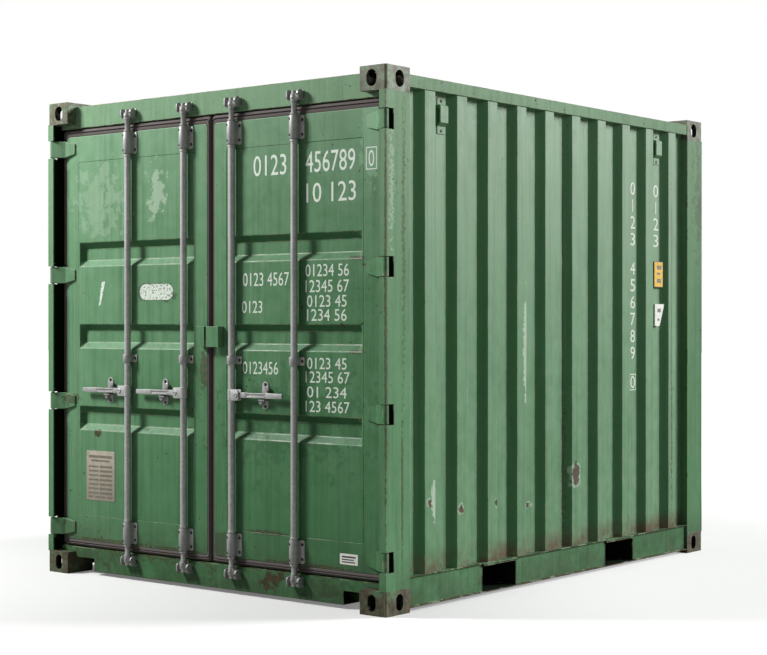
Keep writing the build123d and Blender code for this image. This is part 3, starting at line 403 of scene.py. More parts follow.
def new_group(name, inputs, outputs):
    """Start a shader node group and return its tree, its inputs and its output node."""
    tree = bpy.data.node_groups.new(name, "ShaderNodeTree")
    for title, kind, default in inputs:
        socket = tree.interface.new_socket(title, in_out="INPUT", socket_type=kind)
        socket.default_value = default
    for title, kind in outputs:
        tree.interface.new_socket(title, in_out="OUTPUT", socket_type=kind)
    given = tree.nodes.new("NodeGroupInput")
    result = tree.nodes.new("NodeGroupOutput")
    return tree, given.outputs, result


def grouped(tree, name, inputs=None):
    """Place a shader group in a tree and return its outputs."""
    node = put(tree, "ShaderNodeGroup", node_tree=bpy.data.node_groups[name])
    for key, value in (inputs or {}).items():
        feed(tree, node.inputs[key], value)
    return node.outputs


def weathering_group():
    """Build the group that fades, streaks and dirties any paint."""
    tree, given, result = new_group("weathering", [
        ("Fresh", "NodeSocketColor", (0, 0, 0, 1)),
        ("Faded", "NodeSocketColor", (0, 0, 0, 1)),
        ("Deep", "NodeSocketColor", (0, 0, 0, 1)),
        ("Fading", "NodeSocketFloat", 0.5),
        ("Streaking", "NodeSocketFloat", 0.5),
    ], [("Color", "NodeSocketColor"), ("Roughness", "NodeSocketFloat"), ("Height", "NodeSocketFloat")])
    drift = sums(tree, "SUBTRACT", ramp(tree, noise(tree, 1.1, 3), 0.30, 0.72), 0.5)
    mottle = ramp(tree, noise(tree, 13, 6, 0.66), 0.30, 0.74)
    streak = ramp(tree, noise(tree, 1.0, 5, 0.62, stretch=(34, 34, 1.1)), 0.42, 0.74)
    fading = sums(tree, "MULTIPLY_ADD", drift, 0.22, given["Fading"])
    fading = sums(tree, "MULTIPLY_ADD", sums(tree, "SUBTRACT", mottle, 0.5), 0.16, fading, clamp=True)
    colour = blended(tree, fading, given["Fresh"], given["Faded"])
    dark = sums(tree, "MULTIPLY", streak, given["Streaking"], clamp=True)
    colour = blended(tree, dark, colour, given["Deep"])
    grain = noise(tree, 140, 3, 0.6)
    colour = blended(tree, ramp(tree, grain, 0.60, 0.78, 0, 0.16), colour, given["Deep"])
    rough = ramp(tree, mottle, 0, 1, 0.40, 0.58)
    height = sums(tree, "MULTIPLY_ADD", grain, 0.35, sums(tree, "MULTIPLY", mottle, 0.65))
    feed(tree, result.inputs["Color"], colour)
    feed(tree, result.inputs["Roughness"], rough)
    feed(tree, result.inputs["Height"], height)


def chips_group():
    """Build the group of scattered small chips with rusty rims."""
    tree, given, result = new_group("chips", [
        ("Amount", "NodeSocketFloat", 0.3),
        ("Scale", "NodeSocketFloat", 34.0),
    ], [("Chip", "NodeSocketFloat"), ("Rim", "NodeSocketFloat")])
    place = own_place(tree)
    spots = put(tree, "ShaderNodeTexNoise", {
        "Vector": place, "Scale": given["Scale"], "Detail": 5, "Roughness": 0.66,
    }).outputs["Fac"]
    clusters = ramp(tree, noise(tree, 2.3, 3, 0.7, shift=(3.1, 1.7, 0.4)), 0.36, 0.70, -0.07, 0.05)
    limit = sums(tree, "SUBTRACT", 0.79, sums(tree, "MULTIPLY", given["Amount"], 0.13))
    over = sums(tree, "SUBTRACT", sums(tree, "ADD", spots, clusters), limit)
    feed(tree, result.inputs["Chip"], ramp(tree, over, 0.0, 0.014))
    feed(tree, result.inputs["Rim"], ramp(tree, over, -0.028, 0.006))


def patch_group():
    """Build the group of one ragged patch, given by its middle and its half sizes."""
    tree, given, result = new_group("ragged_patch", [
        ("Centre", "NodeSocketVector", (0, 0, 0)),
        ("Half size", "NodeSocketVector", (1, 1, 1)),
        ("Raggedness", "NodeSocketFloat", 0.8),
        ("Grain", "NodeSocketFloat", 14.0),
    ], [("Mask", "NodeSocketFloat")])
    place = own_place(tree)
    offset = vectors(tree, "SUBTRACT", place, given["Centre"])
    reach = vectors(tree, "LENGTH", vectors(tree, "DIVIDE", offset, given["Half size"]))
    rough = put(tree, "ShaderNodeTexNoise", {
        "Vector": place, "Scale": given["Grain"], "Detail": 6, "Roughness": 0.68,
    }).outputs["Fac"]
    wobble = sums(tree, "MULTIPLY", sums(tree, "SUBTRACT", rough, 0.5), given["Raggedness"])
    edge = sums(tree, "MULTIPLY_ADD", wobble, 3.0, reach)
    feed(tree, result.inputs["Mask"], ramp(tree, edge, 1.02, 0.86))


def runs_group():
    """Build the group of thin runs of rust that hang down a face."""
    tree, given, result = new_group("rust_runs", [
        ("Amount", "NodeSocketFloat", 0.3),
    ], [("Run", "NodeSocketFloat")])
    thin = noise(tree, 1.0, 4, 0.7, stretch=(75, 75, 2.6), shift=(0.7, 0.2, 0.1))
    place = noise(tree, 2.4, 4, 0.65, shift=(1.3, 4.1, 2.2))
    both = sums(tree, "ADD", thin, sums(tree, "MULTIPLY", place, 0.8))
    limit = sums(tree, "SUBTRACT", 1.22, sums(tree, "MULTIPLY", given["Amount"], 0.32))
    feed(tree, result.inputs["Run"], ramp(tree, sums(tree, "SUBTRACT", both, limit), 0.0, 0.10))


def wear_group():
    """Build the group of worn edges, from the edge attribute that each piece's mesh carries."""
    tree, given, result = new_group("worn_edges", [
        ("Amount", "NodeSocketFloat", 0.5),
    ], [("Bare", "NodeSocketFloat"), ("Rubbed", "NodeSocketFloat")])
    edge = face_mark(tree, "edge")
    broken = noise(tree, 11, 5, 0.72)
    line = sums(tree, "MULTIPLY_ADD", edge, 0.55, sums(tree, "SUBTRACT", broken, 1.0))
    line = sums(tree, "MULTIPLY_ADD", given["Amount"], 0.4, line)
    feed(tree, result.inputs["Bare"], ramp(tree, line, 0.27, 0.34))
    feed(tree, result.inputs["Rubbed"], ramp(tree, line, 0.06, 0.24))


def new_material(name):
    """Start a material with one Principled shader and return both its tree and the shader."""
    material = bpy.data.materials.new(name)
    material.use_nodes = True
    tree = material.node_tree
    tree.nodes.clear()
    shader = put(tree, "ShaderNodeBsdfPrincipled")
    output = put(tree, "ShaderNodeOutputMaterial")
    tree.links.new(shader.outputs[0], output.inputs["Surface"])
    return material, tree, shader


def relief(tree, height, strength, distance):
    """Return a normal from a height."""
    node = put(tree, "ShaderNodeBump", {"Height": height, "Strength": strength, "Distance": distance})
    return node.outputs["Normal"]


def height_above(tree, axis="Z"):
    """Return one of the object's own coordinates."""
    place = own_place(tree)
    return put(tree, "ShaderNodeSeparateXYZ", {"Vector": place}).outputs[axis]


def paint(name, fading=0.5, streaking=0.4, chips=0.5, wear=0.5, runs=0.2, dirt=0.5, across=None,
          patches=(), rusting=0.0, chalk=0.3, soil=(0.30, 0.02), mud="grime", shine=0.28):
    """Build a green paint: how faded, streaked, chipped, worn, run with rust and dirty it is.

    across is (axis, where palest, where deepest, change); a patch is (colour, centre, half size,
    strength); rusting is how much of the steel has bloomed with thin rust; chalk is how chalky it
    is high up; soil is the height that dirt reaches and the height where it is thickest, and mud
    is its colour; shine is how strongly the paint reflects. The shade attribute paints shade: up to
    the slopes' level it paints deeper, greener paint with less dust, and from 0.4 up it paints
    the face towards black.
    """
    colours = bpy.context.scene.container_paint
    material, tree, shader = new_material(name)
    high = ramp(tree, height_above(tree), 0.3, 2.5, -0.14, 0.20, smooth=False)
    shaded = face_mark(tree, "shade")
    faded = sums(tree, "ADD", high, sums(tree, "MULTIPLY_ADD", shaded, -0.9, fading))
    if across:
        axis, palest, deepest, change = across
        sideways = ramp(tree, height_above(tree, axis), palest, deepest, change, 0)
        faded = sums(tree, "ADD", faded, sideways)
    body = grouped(tree, "weathering", {
        "Fresh": colours.fresh[:], "Faded": colours.faded[:], "Deep": colours.deep[:],
        "Fading": faded, "Streaking": streaking,
    })
    colour = body["Color"]
    dust = ramp(tree, noise(tree, 30, 6, 0.72, stretch=(30, 30, 9)), 0.44, 0.66)
    high_up = ramp(tree, height_above(tree), 1.0, 2.5, 0.25 * chalk, chalk)
    dust = sums(tree, "MULTIPLY", dust, high_up)
    # Painted shade: faces with the shade mark lose their dust and take a deeper green.
    dust = sums(tree, "MULTIPLY", dust, ramp(tree, shaded, 0, GREEN_SHADE_LEVEL, 1, 0.2))
    colour = blended(tree, ramp(tree, shaded, 0, GREEN_SHADE_LEVEL, 0, 0.45), colour, (0.028, 0.140, 0.040))
    colour = blended(tree, dust, colour, (0.46, 0.47, 0.38))
    low = ramp(tree, height_above(tree), *soil)
    low = sums(tree, "MULTIPLY", low, ramp(tree, noise(tree, 7, 6, 0.72), 0.30, 0.60))
    colour = blended(tree, sums(tree, "MULTIPLY", low, dirt), colour, getattr(colours, mud)[:])
    speckle = ramp(tree, noise(tree, 48, 4, 0.7), 0.40, 0.62)
    rust = blended(tree, speckle, (0.020, 0.017, 0.010), colours.rust[:])
    for tint, centre, half, strength in patches:
        grain = min(60, max(14, 1.1 / min(half)))
        mask = grouped(tree, "ragged_patch", {
            "Centre": centre, "Half size": half, "Grain": grain,
            "Raggedness": 2.2 if strength < 0.5 else 0.8,
        })["Mask"]
        mask = sums(tree, "MULTIPLY", mask, strength)
        colour = blended(tree, mask, colour, rust if tint == "rust" else getattr(colours, tint)[:])
    if rusting:
        clouds = noise(tree, 16, 7, 0.74, shift=(0.4, 0.1, 0.8))
        bloom = ramp(tree, clouds, 0.62 - 0.22 * rusting, 0.70 - 0.10 * rusting)
        fine = ramp(tree, noise(tree, 40, 4, 0.7), 0.36, 0.66)
        bloom_colour = blended(tree, fine, (0.038, 0.030, 0.018), (0.150, 0.098, 0.066))
        colour = blended(tree, sums(tree, "MULTIPLY", bloom, 0.85), colour, bloom_colour)
    spots = grouped(tree, "chips", {"Amount": chips})
    edges = grouped(tree, "worn_edges", {"Amount": wear})
    run = grouped(tree, "rust_runs", {"Amount": runs})["Run"]
    colour = blended(tree, sums(tree, "MULTIPLY", run, 0.55), colour, rust)
    colour = blended(tree, sums(tree, "MULTIPLY", edges["Rubbed"], 0.6), colour, (0.27, 0.27, 0.18))
    colour = blended(tree, sums(tree, "MULTIPLY", spots["Rim"], 0.35), colour, rust)
    bare = sums(tree, "MAXIMUM", spots["Chip"], edges["Bare"])
    colour = blended(tree, bare, colour, rust)
    # Painted shade: from 0.4 up the shade mark paints the face towards black.
    colour = blended(tree, ramp(tree, shaded, 0.4, 1.0, 0, 0.95), colour, (0.006, 0.010, 0.006))
    height = sums(tree, "SUBTRACT", body["Height"], sums(tree, "MULTIPLY", bare, 1.5))
    shader.inputs["Specular IOR Level"].default_value = shine
    feed(tree, shader.inputs["Base Color"], colour)
    rough = sums(tree, "MULTIPLY_ADD", bare, 0.3, body["Roughness"], clamp=True)
    feed(tree, shader.inputs["Roughness"], rough)
    feed(tree, shader.inputs["Normal"], relief(tree, height, 0.35, 0.0005))
    return material


def zinc_material(name, shade=1.0):
    """Build weathered galvanised steel, spangled, stained and rust-spotted, and darker where its faces
    carry the shade mark.
    """
    colours = bpy.context.scene.container_paint
    material, tree, shader = new_material(name)
    base = tuple(min(1, shade * c) for c in colours.zinc)
    dark = tuple(0.42 * c for c in base)
    spangle = ramp(tree, noise(tree, 42, 5, 0.7), 0.34, 0.70)
    stain = ramp(tree, noise(tree, 1.0, 5, 0.7, stretch=(18, 18, 3.5)), 0.42, 0.76)
    colour = blended(tree, sums(tree, "MULTIPLY", spangle, 0.45), base, dark)
    colour = blended(tree, sums(tree, "MULTIPLY", stain, 0.5), colour, dark)
    # Faces with the shade mark are painted darker: the keepers, the cams and the bearing housings. On the
    # keepers and cams this is painted shade with grime.
    shaded = face_mark(tree, "shade")
    colour = blended(tree, sums(tree, "MULTIPLY", shaded, 0.45), colour, dark)
    spots = grouped(tree, "chips", {"Amount": 0.45, "Scale": 60.0})
    colour = blended(tree, spots["Rim"], colour, (0.16, 0.085, 0.05))
    feed(tree, shader.inputs["Base Color"], colour)
    shader.inputs["Metallic"].default_value = 0.30
    feed(tree, shader.inputs["Roughness"], ramp(tree, spangle, 0, 1, 0.40, 0.60))
    feed(tree, shader.inputs["Normal"], relief(tree, spangle, 0.3, 0.0005))
    return material


def rubber_material(name):
    """Build dusty black-brown door seal rubber, with a painted highlight on its outer lip."""
    colours = bpy.context.scene.container_paint
    material, tree, shader = new_material(name)
    dust = ramp(tree, noise(tree, 7, 5, 0.65), 0.35, 0.75)
    lip = face_mark(tree, "lip")
    colour = blended(tree, sums(tree, "MULTIPLY", dust, 0.35), colours.rubber[:], (0.075, 0.058, 0.053))
    # Painted highlight: the outer lip is painted paler.
    colour = blended(tree, sums(tree, "MULTIPLY", lip, 0.75), colour, (0.155, 0.128, 0.118))
    grain = noise(tree, 1.0, 3, 0.6, stretch=(90, 90, 90))
    feed(tree, shader.inputs["Base Color"], colour)
    feed(tree, shader.inputs["Roughness"], ramp(tree, dust, 0, 1, 0.42, 0.62))
    feed(tree, shader.inputs["Normal"], relief(tree, grain, 0.25, 0.0006))
    return material


def marking_material(name, flaking=0.0):
    """Build the worn white of painted numbers, with gaps where it has flaked."""
    colours = bpy.context.scene.container_paint
    material, tree, shader = new_material(name)
    dirt = ramp(tree, noise(tree, 24, 5, 0.7), 0.35, 0.75)
    flaked = ramp(tree, noise(tree, 85, 5, 0.75), 0.63 - flaking, 0.69 - flaking)
    colour = blended(tree, sums(tree, "MULTIPLY", dirt, 0.3), colours.marking[:], (0.38, 0.47, 0.38))
    feed(tree, shader.inputs["Base Color"], colour)
    feed(tree, shader.inputs["Alpha"], sums(tree, "SUBTRACT", 1, sums(tree, "MULTIPLY", flaked, 0.8)))
    feed(tree, shader.inputs["Roughness"], ramp(tree, dirt, 0, 1, 0.45, 0.65))
    return material


def label_material(name):
    """Build the coat of a label, a plate or a bolt: one colour, dulled and stained unevenly."""
    clean, stain, smoothest = COATS[name]
    material, tree, shader = new_material(name)
    spread = ramp(tree, noise(tree, 30, 6, 0.72), 0.36, 0.72)
    fine = ramp(tree, noise(tree, 170, 4, 0.7), 0.50, 0.78)
    colour = blended(tree, sums(tree, "MULTIPLY", spread, 0.5), clean, stain)
    colour = blended(tree, sums(tree, "MULTIPLY", fine, 0.45), colour, stain)
    feed(tree, shader.inputs["Base Color"], colour)
    feed(tree, shader.inputs["Roughness"], ramp(tree, spread, 0, 1, smoothest, smoothest + 0.2))
    feed(tree, shader.inputs["Normal"], relief(tree, fine, 0.3, 0.0003))
    return material


def plywood_material(name):
    """Build the worn plywood of the floor, with its grain along the container."""
    material, tree, shader = new_material(name)
    grain = noise(tree, 1.0, 6, 0.6, stretch=(60, 3, 60))
    ply = put(tree, "ShaderNodeTexWave", {
        "Vector": own_place(tree), "Scale": 70.0, "Distortion": 0.6,
    }, bands_direction="Z").outputs["Fac"]
    stain = ramp(tree, noise(tree, 3, 5, 0.65), 0.35, 0.7)
    colour = blended(tree, grain, (0.16, 0.085, 0.042), (0.34, 0.20, 0.11))
    colour = blended(tree, sums(tree, "MULTIPLY", ply, 0.3), colour, (0.10, 0.055, 0.03))
    colour = blended(tree, sums(tree, "MULTIPLY", stain, 0.45), colour, (0.055, 0.04, 0.03))
    feed(tree, shader.inputs["Base Color"], colour)
    feed(tree, shader.inputs["Roughness"], ramp(tree, grain, 0, 1, 0.55, 0.8))
    feed(tree, shader.inputs["Normal"], relief(tree, grain, 0.4, 0.001))
    return material


def build_groups():
    """Build each shared shader group once."""
    for name, build in (
        ("weathering", weathering_group), ("chips", chips_group),
        ("ragged_patch", patch_group), ("worn_edges", wear_group), ("rust_runs", runs_group),
    ):
        if name not in bpy.data.node_groups:
            build()


def material_named(name, build, **values):
    """Return a material, building it the first time."""
    build_groups()
    if name in bpy.data.materials:
        return bpy.data.materials[name]
    return build(name, **values)


def wearing(piece, material):
    """Give a piece one material."""
    piece.data.materials.clear()
    piece.data.materials.append(material)


BODY_OF = {
    node: body
    for body, nodes in frame["record"]["behaviour"]["bodies"].items()
    for node in nodes
}
SLOT_OF = {part["node"]: part["material_slot"] for part in frame["record"]["subparts"]}


def settle(piece, nodes, body=None, slot=None):
    """Hang a finished piece on its body, in the place of the plain nodes that it stands for."""
    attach(piece, body or BODY_OF[nodes[0]])
    if nodes:
        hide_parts(*nodes)
    slot or SLOT_OF[nodes[0]]


def new_piece(name, mesh, material):
    """Put a finished mesh in the scene with its material."""
    piece = bpy.data.objects.new(name, mesh)
    bpy.context.scene.collection.objects.link(piece)
    wearing(piece, material)
    return piece


def plain_mesh(piece, *modifiers):
    """Apply modifiers, each given as (kind, settings), and leave the result as a plain mesh."""
    for kind, settings in modifiers:
        modifier = piece.modifiers.new(kind.lower(), kind)
        for name, value in settings.items():
            setattr(modifier, name, value)
    seen = bpy.context.evaluated_depsgraph_get()
    mesh = bpy.data.meshes.new_from_object(piece.evaluated_get(seen))
    piece.modifiers.clear()
    old, piece.data = piece.data, mesh
    mesh.name = piece.name
    if old.users == 0:
        bpy.data.meshes.remove(old)
    return piece


def softened(node, radius, material, segments=2, angles=(20, 180)):
    """Copy a plain node, round the edges whose turn is between two angles, and stand the copy for it.

    The rounded faces carry an edge attribute, which the worn paint reads.
    """
    work = bmesh.new()
    work.from_mesh(frame["nodes"][node].data)
    bmesh.ops.remove_doubles(work, verts=work.verts, dist=SAME_CORNER)
    bmesh.ops.dissolve_limit(
        work, angle_limit=math.radians(1.0), verts=work.verts, edges=work.edges,
        delimit={"NORMAL"},
    )
    mesh = bpy.data.meshes.new(f"{node}_steel")
    low, high = (math.radians(angle) for angle in angles)
    weight = work.edges.layers.float.new("bevel_weight_edge")
    for edge in work.edges:
        if len(edge.link_faces) == 2 and low < edge.calc_face_angle(0) < high:
            edge[weight] = 1.0
    work.to_mesh(mesh)
    work.free()
    piece = new_piece(mesh.name, mesh, material)
    rounding = ("BEVEL", {
        "width": radius, "segments": segments, "limit_method": "WEIGHT", "offset_type": "OFFSET",
        "miter_outer": "MITER_ARC", "harden_normals": False, "use_clamp_overlap": True,
        "face_strength_mode": "FSTR_NEW",
    })
    for face in mesh.polygons:
        face.use_smooth = True
    shading = ("WEIGHTED_NORMAL", {"mode": "FACE_AREA", "keep_sharp": True, "weight": 50})
    plain_mesh(piece, rounding, shading)
    mark_edges(piece.data, 4 * radius)
    settle(piece, [node])
    return piece


def mark_edges(mesh, widest):
    """Give the narrow faces that lie askew an edge attribute of 1, and the others 0."""
    marks = []
    for face in mesh.polygons:
        lengths = sorted(
            (mesh.vertices[first].co - mesh.vertices[second].co).length
            for first, second in face.edge_keys
        )
        turned_away = max(abs(value) for value in face.normal) < 0.995
        marks.append(float(turned_away and lengths[1] < widest and face.area < widest * lengths[-1]))
    mesh.attributes.new("edge", "FLOAT", "FACE").data.foreach_set("value", marks)


def shade_faces(piece, chosen):
    """Mark each face of a piece with how much its material darkens it, from 0 to 1."""
    marks = [float(chosen(face.center, face.normal)) for face in piece.data.polygons]
    piece.data.attributes.new("shade", "FLOAT", "FACE").data.foreach_set("value", marks)


def new_form(name, inputs):
    """Start a Geometry Nodes tree with named inputs, and return it with its inputs and its result."""
    tree = bpy.data.node_groups.new(name, "GeometryNodeTree")
    for title, kind, default in inputs:
        socket = tree.interface.new_socket(title, in_out="INPUT", socket_type=kind)
        if default is not None:
            socket.default_value = default
    tree.interface.new_socket("Material", in_out="INPUT", socket_type="NodeSocketMaterial")
    tree.interface.new_socket("Geometry", in_out="OUTPUT", socket_type="NodeSocketGeometry")
    given = tree.nodes.new("NodeGroupInput").outputs
    result = tree.nodes.new("NodeGroupOutput").inputs[0]
    return tree, given, result


def close_form(tree, given, result, geometry):
    """End a tree: make its instances real, give it its material and send it out."""
    real = put(tree, "GeometryNodeRealizeInstances", {"Geometry": geometry}).outputs[0]
    dressed = put(tree, "GeometryNodeSetMaterial", {"Geometry": real, "Material": given["Material"]})
    tree.links.new(dressed.outputs[0], result)
    return tree


def formed(name, tree, material, values, place=None, mesh=None, finish=()):
    """Run a tree with these inputs and return the result as a plain mesh piece, moved into place."""
    piece = new_piece(name, mesh or bpy.data.meshes.new(name), material)
    modifier = piece.modifiers.new("form", "NODES")
    modifier.node_group = tree
    sockets = {
        item.name: item.identifier for item in tree.interface.items_tree if item.in_out == "INPUT"
    }
    for title, value in {**values, "Material": material}.items():
        modifier[sockets[title]] = value
    plain_mesh(piece, *finish)
    if place:
        piece.data.transform(place)
    return piece


def form_named(name, build):
    """Return a Geometry Nodes tree, building it the first time."""
    return bpy.data.node_groups.get(name) or build(name)


def ridges_form(name):
    """Build the tree of a sheet pressed into upright ridges, with rounded bends and slight dents.

    The sheet stands on the XY plane, runs along X and has its ridges towards +Y.
    """
    tree, given, result = new_form(name, [
        ("Length", "NodeSocketFloat", 2.6), ("Height", "NodeSocketFloat", 2.3),
        ("Ridges", "NodeSocketInt", 10), ("Pitch", "NodeSocketFloat", 0.256),
        ("Flat", "NodeSocketFloat", 0.08), ("Slope", "NodeSocketFloat", 0.048),
        ("Depth", "NodeSocketFloat", 0.036), ("Bend radius", "NodeSocketFloat", 0.012),
        ("Rows", "NodeSocketInt", 40), ("Dent", "NodeSocketFloat", 0.002), ("Seed", "NodeSocketFloat", 0),
    ])
    index = put(tree, "GeometryNodeInputIndex").outputs[0]
    count = sums(tree, "MULTIPLY_ADD", given["Ridges"], 4, 2)
    line = put(tree, "GeometryNodeMeshLine", {"Count": count}, mode="OFFSET").outputs["Mesh"]
    step = sums(tree, "SUBTRACT", index, 1)
    ridge = sums(tree, "FLOOR", sums(tree, "DIVIDE", step, 4))
    turn = sums(tree, "SUBTRACT", sums(tree, "FLOORED_MODULO", step, 4), 1.5)
    low = sums(tree, "GREATER_THAN", sums(tree, "ABSOLUTE", turn), 1)
    reach = sums(tree, "MULTIPLY_ADD", given["Flat"], 0.5, sums(tree, "MULTIPLY", low, given["Slope"]))
    middle = sums(tree, "MULTIPLY", sums(tree, "SUBTRACT", given["Ridges"], 1), 0.5)
    centre = sums(tree, "MULTIPLY", sums(tree, "SUBTRACT", ridge, middle), given["Pitch"])
    along = sums(tree, "MULTIPLY_ADD", sums(tree, "SIGN", turn), reach, centre)
    half = sums(tree, "MULTIPLY", given["Length"], 0.5)
    first = sums(tree, "LESS_THAN", index, 0.5)
    last = sums(tree, "GREATER_THAN", index, sums(tree, "SUBTRACT", count, 1.5))
    inside = sums(tree, "SUBTRACT", 1, sums(tree, "ADD", first, last))
    along = sums(tree, "MULTIPLY", along, inside)
    along = sums(tree, "MULTIPLY_ADD", sums(tree, "SUBTRACT", last, first), half, along)
    out = sums(tree, "MULTIPLY", sums(tree, "SUBTRACT", 1, low), given["Depth"])
    corner = put(tree, "ShaderNodeCombineXYZ", {"X": along, "Y": out}).outputs[0]
    line = put(tree, "GeometryNodeSetPosition", {"Geometry": line, "Position": corner}).outputs[0]
    curve = put(tree, "GeometryNodeMeshToCurve", {"Mesh": line}).outputs[0]
    curve = put(tree, "GeometryNodeSubdivideCurve", {"Curve": curve, "Cuts": 2}).outputs[0]
    curve = put(tree, "GeometryNodeFilletCurve", {
        "Curve": curve, "Count": 3, "Radius": given["Bend radius"], "Limit Radius": True,
    }, mode="POLY").outputs[0]
    points = put(tree, "GeometryNodeCurveToPoints", {"Curve": curve}, mode="EVALUATED").outputs["Points"]
    total = put(tree, "GeometryNodeAttributeDomainSize", {"Geometry": points}, component="POINTCLOUD")
    grid = put(tree, "GeometryNodeMeshGrid", {
        "Vertices X": total.outputs["Point Count"], "Vertices Y": given["Rows"],
    }).outputs["Mesh"]
    column = sums(tree, "FLOOR", sums(tree, "DIVIDE", sums(tree, "ADD", index, 0.25), given["Rows"]))
    row = sums(tree, "SUBTRACT", index, sums(tree, "MULTIPLY", column, given["Rows"]))
    share = sums(tree, "DIVIDE", row, sums(tree, "SUBTRACT", given["Rows"], 1))
    position = put(tree, "GeometryNodeInputPosition").outputs[0]
    found = put(tree, "GeometryNodeSampleIndex", {
        "Geometry": points, "Value": position, "Index": column,
    }, data_type="FLOAT_VECTOR").outputs[0]
    rise = sums(tree, "MULTIPLY", share, given["Height"])
    up = put(tree, "ShaderNodeCombineXYZ", {"Z": rise}).outputs[0]
    grid = put(tree, "GeometryNodeSetPosition", {
        "Geometry": grid, "Position": found, "Offset": up,
    }).outputs[0]
    grid = put(tree, "GeometryNodeMergeByDistance", {"Geometry": grid, "Distance": 0.0001}).outputs[0]
    dents = put(tree, "ShaderNodeTexNoise", {
        "Vector": position, "W": given["Seed"], "Scale": 4.2, "Detail": 1.5,
    }, noise_dimensions="4D").outputs["Fac"]
    deepest = sums(tree, "MULTIPLY", given["Dent"], 4)
    push = sums(tree, "MULTIPLY", sums(tree, "SUBTRACT", dents, 0.55), deepest)
    height = put(tree, "ShaderNodeSeparateXYZ", {"Vector": position}).outputs["Z"]
    to_end = sums(tree, "MINIMUM", height, sums(tree, "SUBTRACT", given["Height"], height))
    push = sums(tree, "MULTIPLY", push, sums(tree, "MULTIPLY", to_end, 5, clamp=True))
    push = put(tree, "ShaderNodeCombineXYZ", {"Y": push}).outputs[0]
    grid = put(tree, "GeometryNodeSetPosition", {"Geometry": grid, "Offset": push}).outputs[0]
    grid = put(tree, "GeometryNodeFlipFaces", {"Mesh": grid}).outputs[0]
    grid = put(tree, "GeometryNodeSetShadeSmooth", {"Geometry": grid, "Shade Smooth": True}).outputs[0]
    return close_form(tree, given, result, grid)


def eased(value, radius):
    """Return the value where it is positive and 0 where it isn't, with the corner rounded."""
    if value <= -radius:
        return 0.0
    if value >= radius:
        return value
    return (value + radius) ** 2 / (4 * radius)


def grid_lines(start, stop, bends, radius, step):
    """Return the lines of a grid from start to stop, at most a step apart and closer at each bend."""
    marks = {start, stop}
    for bend in bends:
        marks.update(bend + share * radius for share in (-1, -0.5, 0, 0.5, 1))
    marks = sorted(mark for mark in marks if start <= mark <= stop)
    lines = []
    for low, high in zip(marks, marks[1:]):
        parts = max(1, math.ceil((high - low) / step))
        lines += [low + (high - low) * index / parts for index in range(parts)]
    return lines + [stop]


def pressed(distances, slopes, depth, radius):
    """Return how deep a pressing is at a point, from its distances inside the mouth on each axis."""
    inside = min(distance * depth / slope for distance, slope in zip(distances, slopes))
    return eased(inside, radius) - eased(inside - depth, radius)


def sheet_piece(name, us, vs, point, material, thickness):
    """Build a closed smooth sheet over two sets of grid lines, with point(u, v) giving each corner."""
    corners = [point(u, v) for u in us for v in vs]
    rows = len(vs)
    faces = [
        (i * rows + j, (i + 1) * rows + j, (i + 1) * rows + j + 1, i * rows + j + 1)
        for i in range(len(us) - 1) for j in range(rows - 1)
    ]
    mesh = bpy.data.meshes.new(name)
    mesh.from_pydata(corners, [], faces)
    mesh.shade_smooth()
    piece = new_piece(name, mesh, material)
    plain_mesh(piece, ("SOLIDIFY", {"thickness": thickness, "offset": -1, "use_even_offset": True}))
    piece.data.set_sharp_from_angle(angle=SHARP_BEND)
    mark_edges(piece.data, WORN_WIDTH)
    return piece


def turned(profile, middle, segments=32):
    """Return a closed round form on an upright axis, from (height, radius) pairs."""
    part = bmesh.new()
    rings = []
    for height, radius in profile:
        angles = [2 * math.pi * index / segments for index in range(segments)]
        rings.append([
            part.verts.new((middle[0] + radius * math.cos(a), middle[1] + radius * math.sin(a), height))
            for a in angles
        ])
    for lower, upper in zip(rings, rings[1:]):
        for index in range(segments):
            after = (index + 1) % segments
            part.faces.new((lower[index], lower[after], upper[after], upper[index]))
    part.faces.new(reversed(rings[0]))
    part.faces.new(rings[-1])
    return part


def prism(outline, low, high, turn, rounding=0.0):
    """Return a closed prism, its outline extruded from low to high, turned into place and rounded."""
    part = bmesh.new()
    bottom = [part.verts.new((a, b, low)) for a, b in outline]
    top = [part.verts.new((a, b, high)) for a, b in outline]
    part.faces.new(reversed(bottom))
    part.faces.new(top)
    for index in range(len(outline)):
        after = (index + 1) % len(outline)
        part.faces.new((bottom[index], bottom[after], top[after], top[index]))
    if rounding:
        bmesh.ops.bevel(
            part, geom=part.edges[:], offset=rounding, segments=2,
            profile=0.5, affect="EDGES", clamp_overlap=True,
        )
    part.transform(turn)
    bmesh.ops.recalc_face_normals(part, faces=part.faces[:])
    return part


def oval(length, width, steps=10):
    """Return the outline of a round-ended bar, long in its first axis, about the origin."""
    radius, reach = width / 2, (length - width) / 2
    points = []
    for side in (1, -1):
        for step in range(steps + 1):
            angle = math.pi * step / steps - math.pi / 2
            points.append((side * (reach + radius * math.cos(angle)), side * radius * math.sin(angle)))
    return points


def assembled(name, parts, material, sharp=32):
    """Join closed forms into one smooth-shaded piece."""
    whole = bpy.data.meshes.new(name)
    work = joined(parts)
    work.to_mesh(whole)
    work.free()
    whole.shade_smooth()
    whole.set_sharp_from_angle(angle=math.radians(sharp))
    piece = new_piece(name, whole, material)
    mark_edges(whole, WORN_WIDTH)
    return piece


def fixed(name, parts, material, body, slot="green_paint"):
    """Join closed forms into a piece that stands for no node and moves with a body."""
    settle(assembled(name, parts, material), [], body, slot)


def rounded_loop(x0, x1, z0, z1, radius, steps=5):
    """Return the corners of a rounded rectangle, anticlockwise, with an arc at each."""
    points = []
    for index, (x, z) in enumerate(((x1, z1), (x0, z1), (x0, z0), (x1, z0))):
        middle_x = x - radius if x == x1 else x + radius
        middle_z = z - radius if z == z1 else z + radius
        for step in range(steps + 1):
            angle = math.pi / 2 * (index + step / steps)
            points.append((middle_x + radius * math.cos(angle), middle_z + radius * math.sin(angle)))
    return points


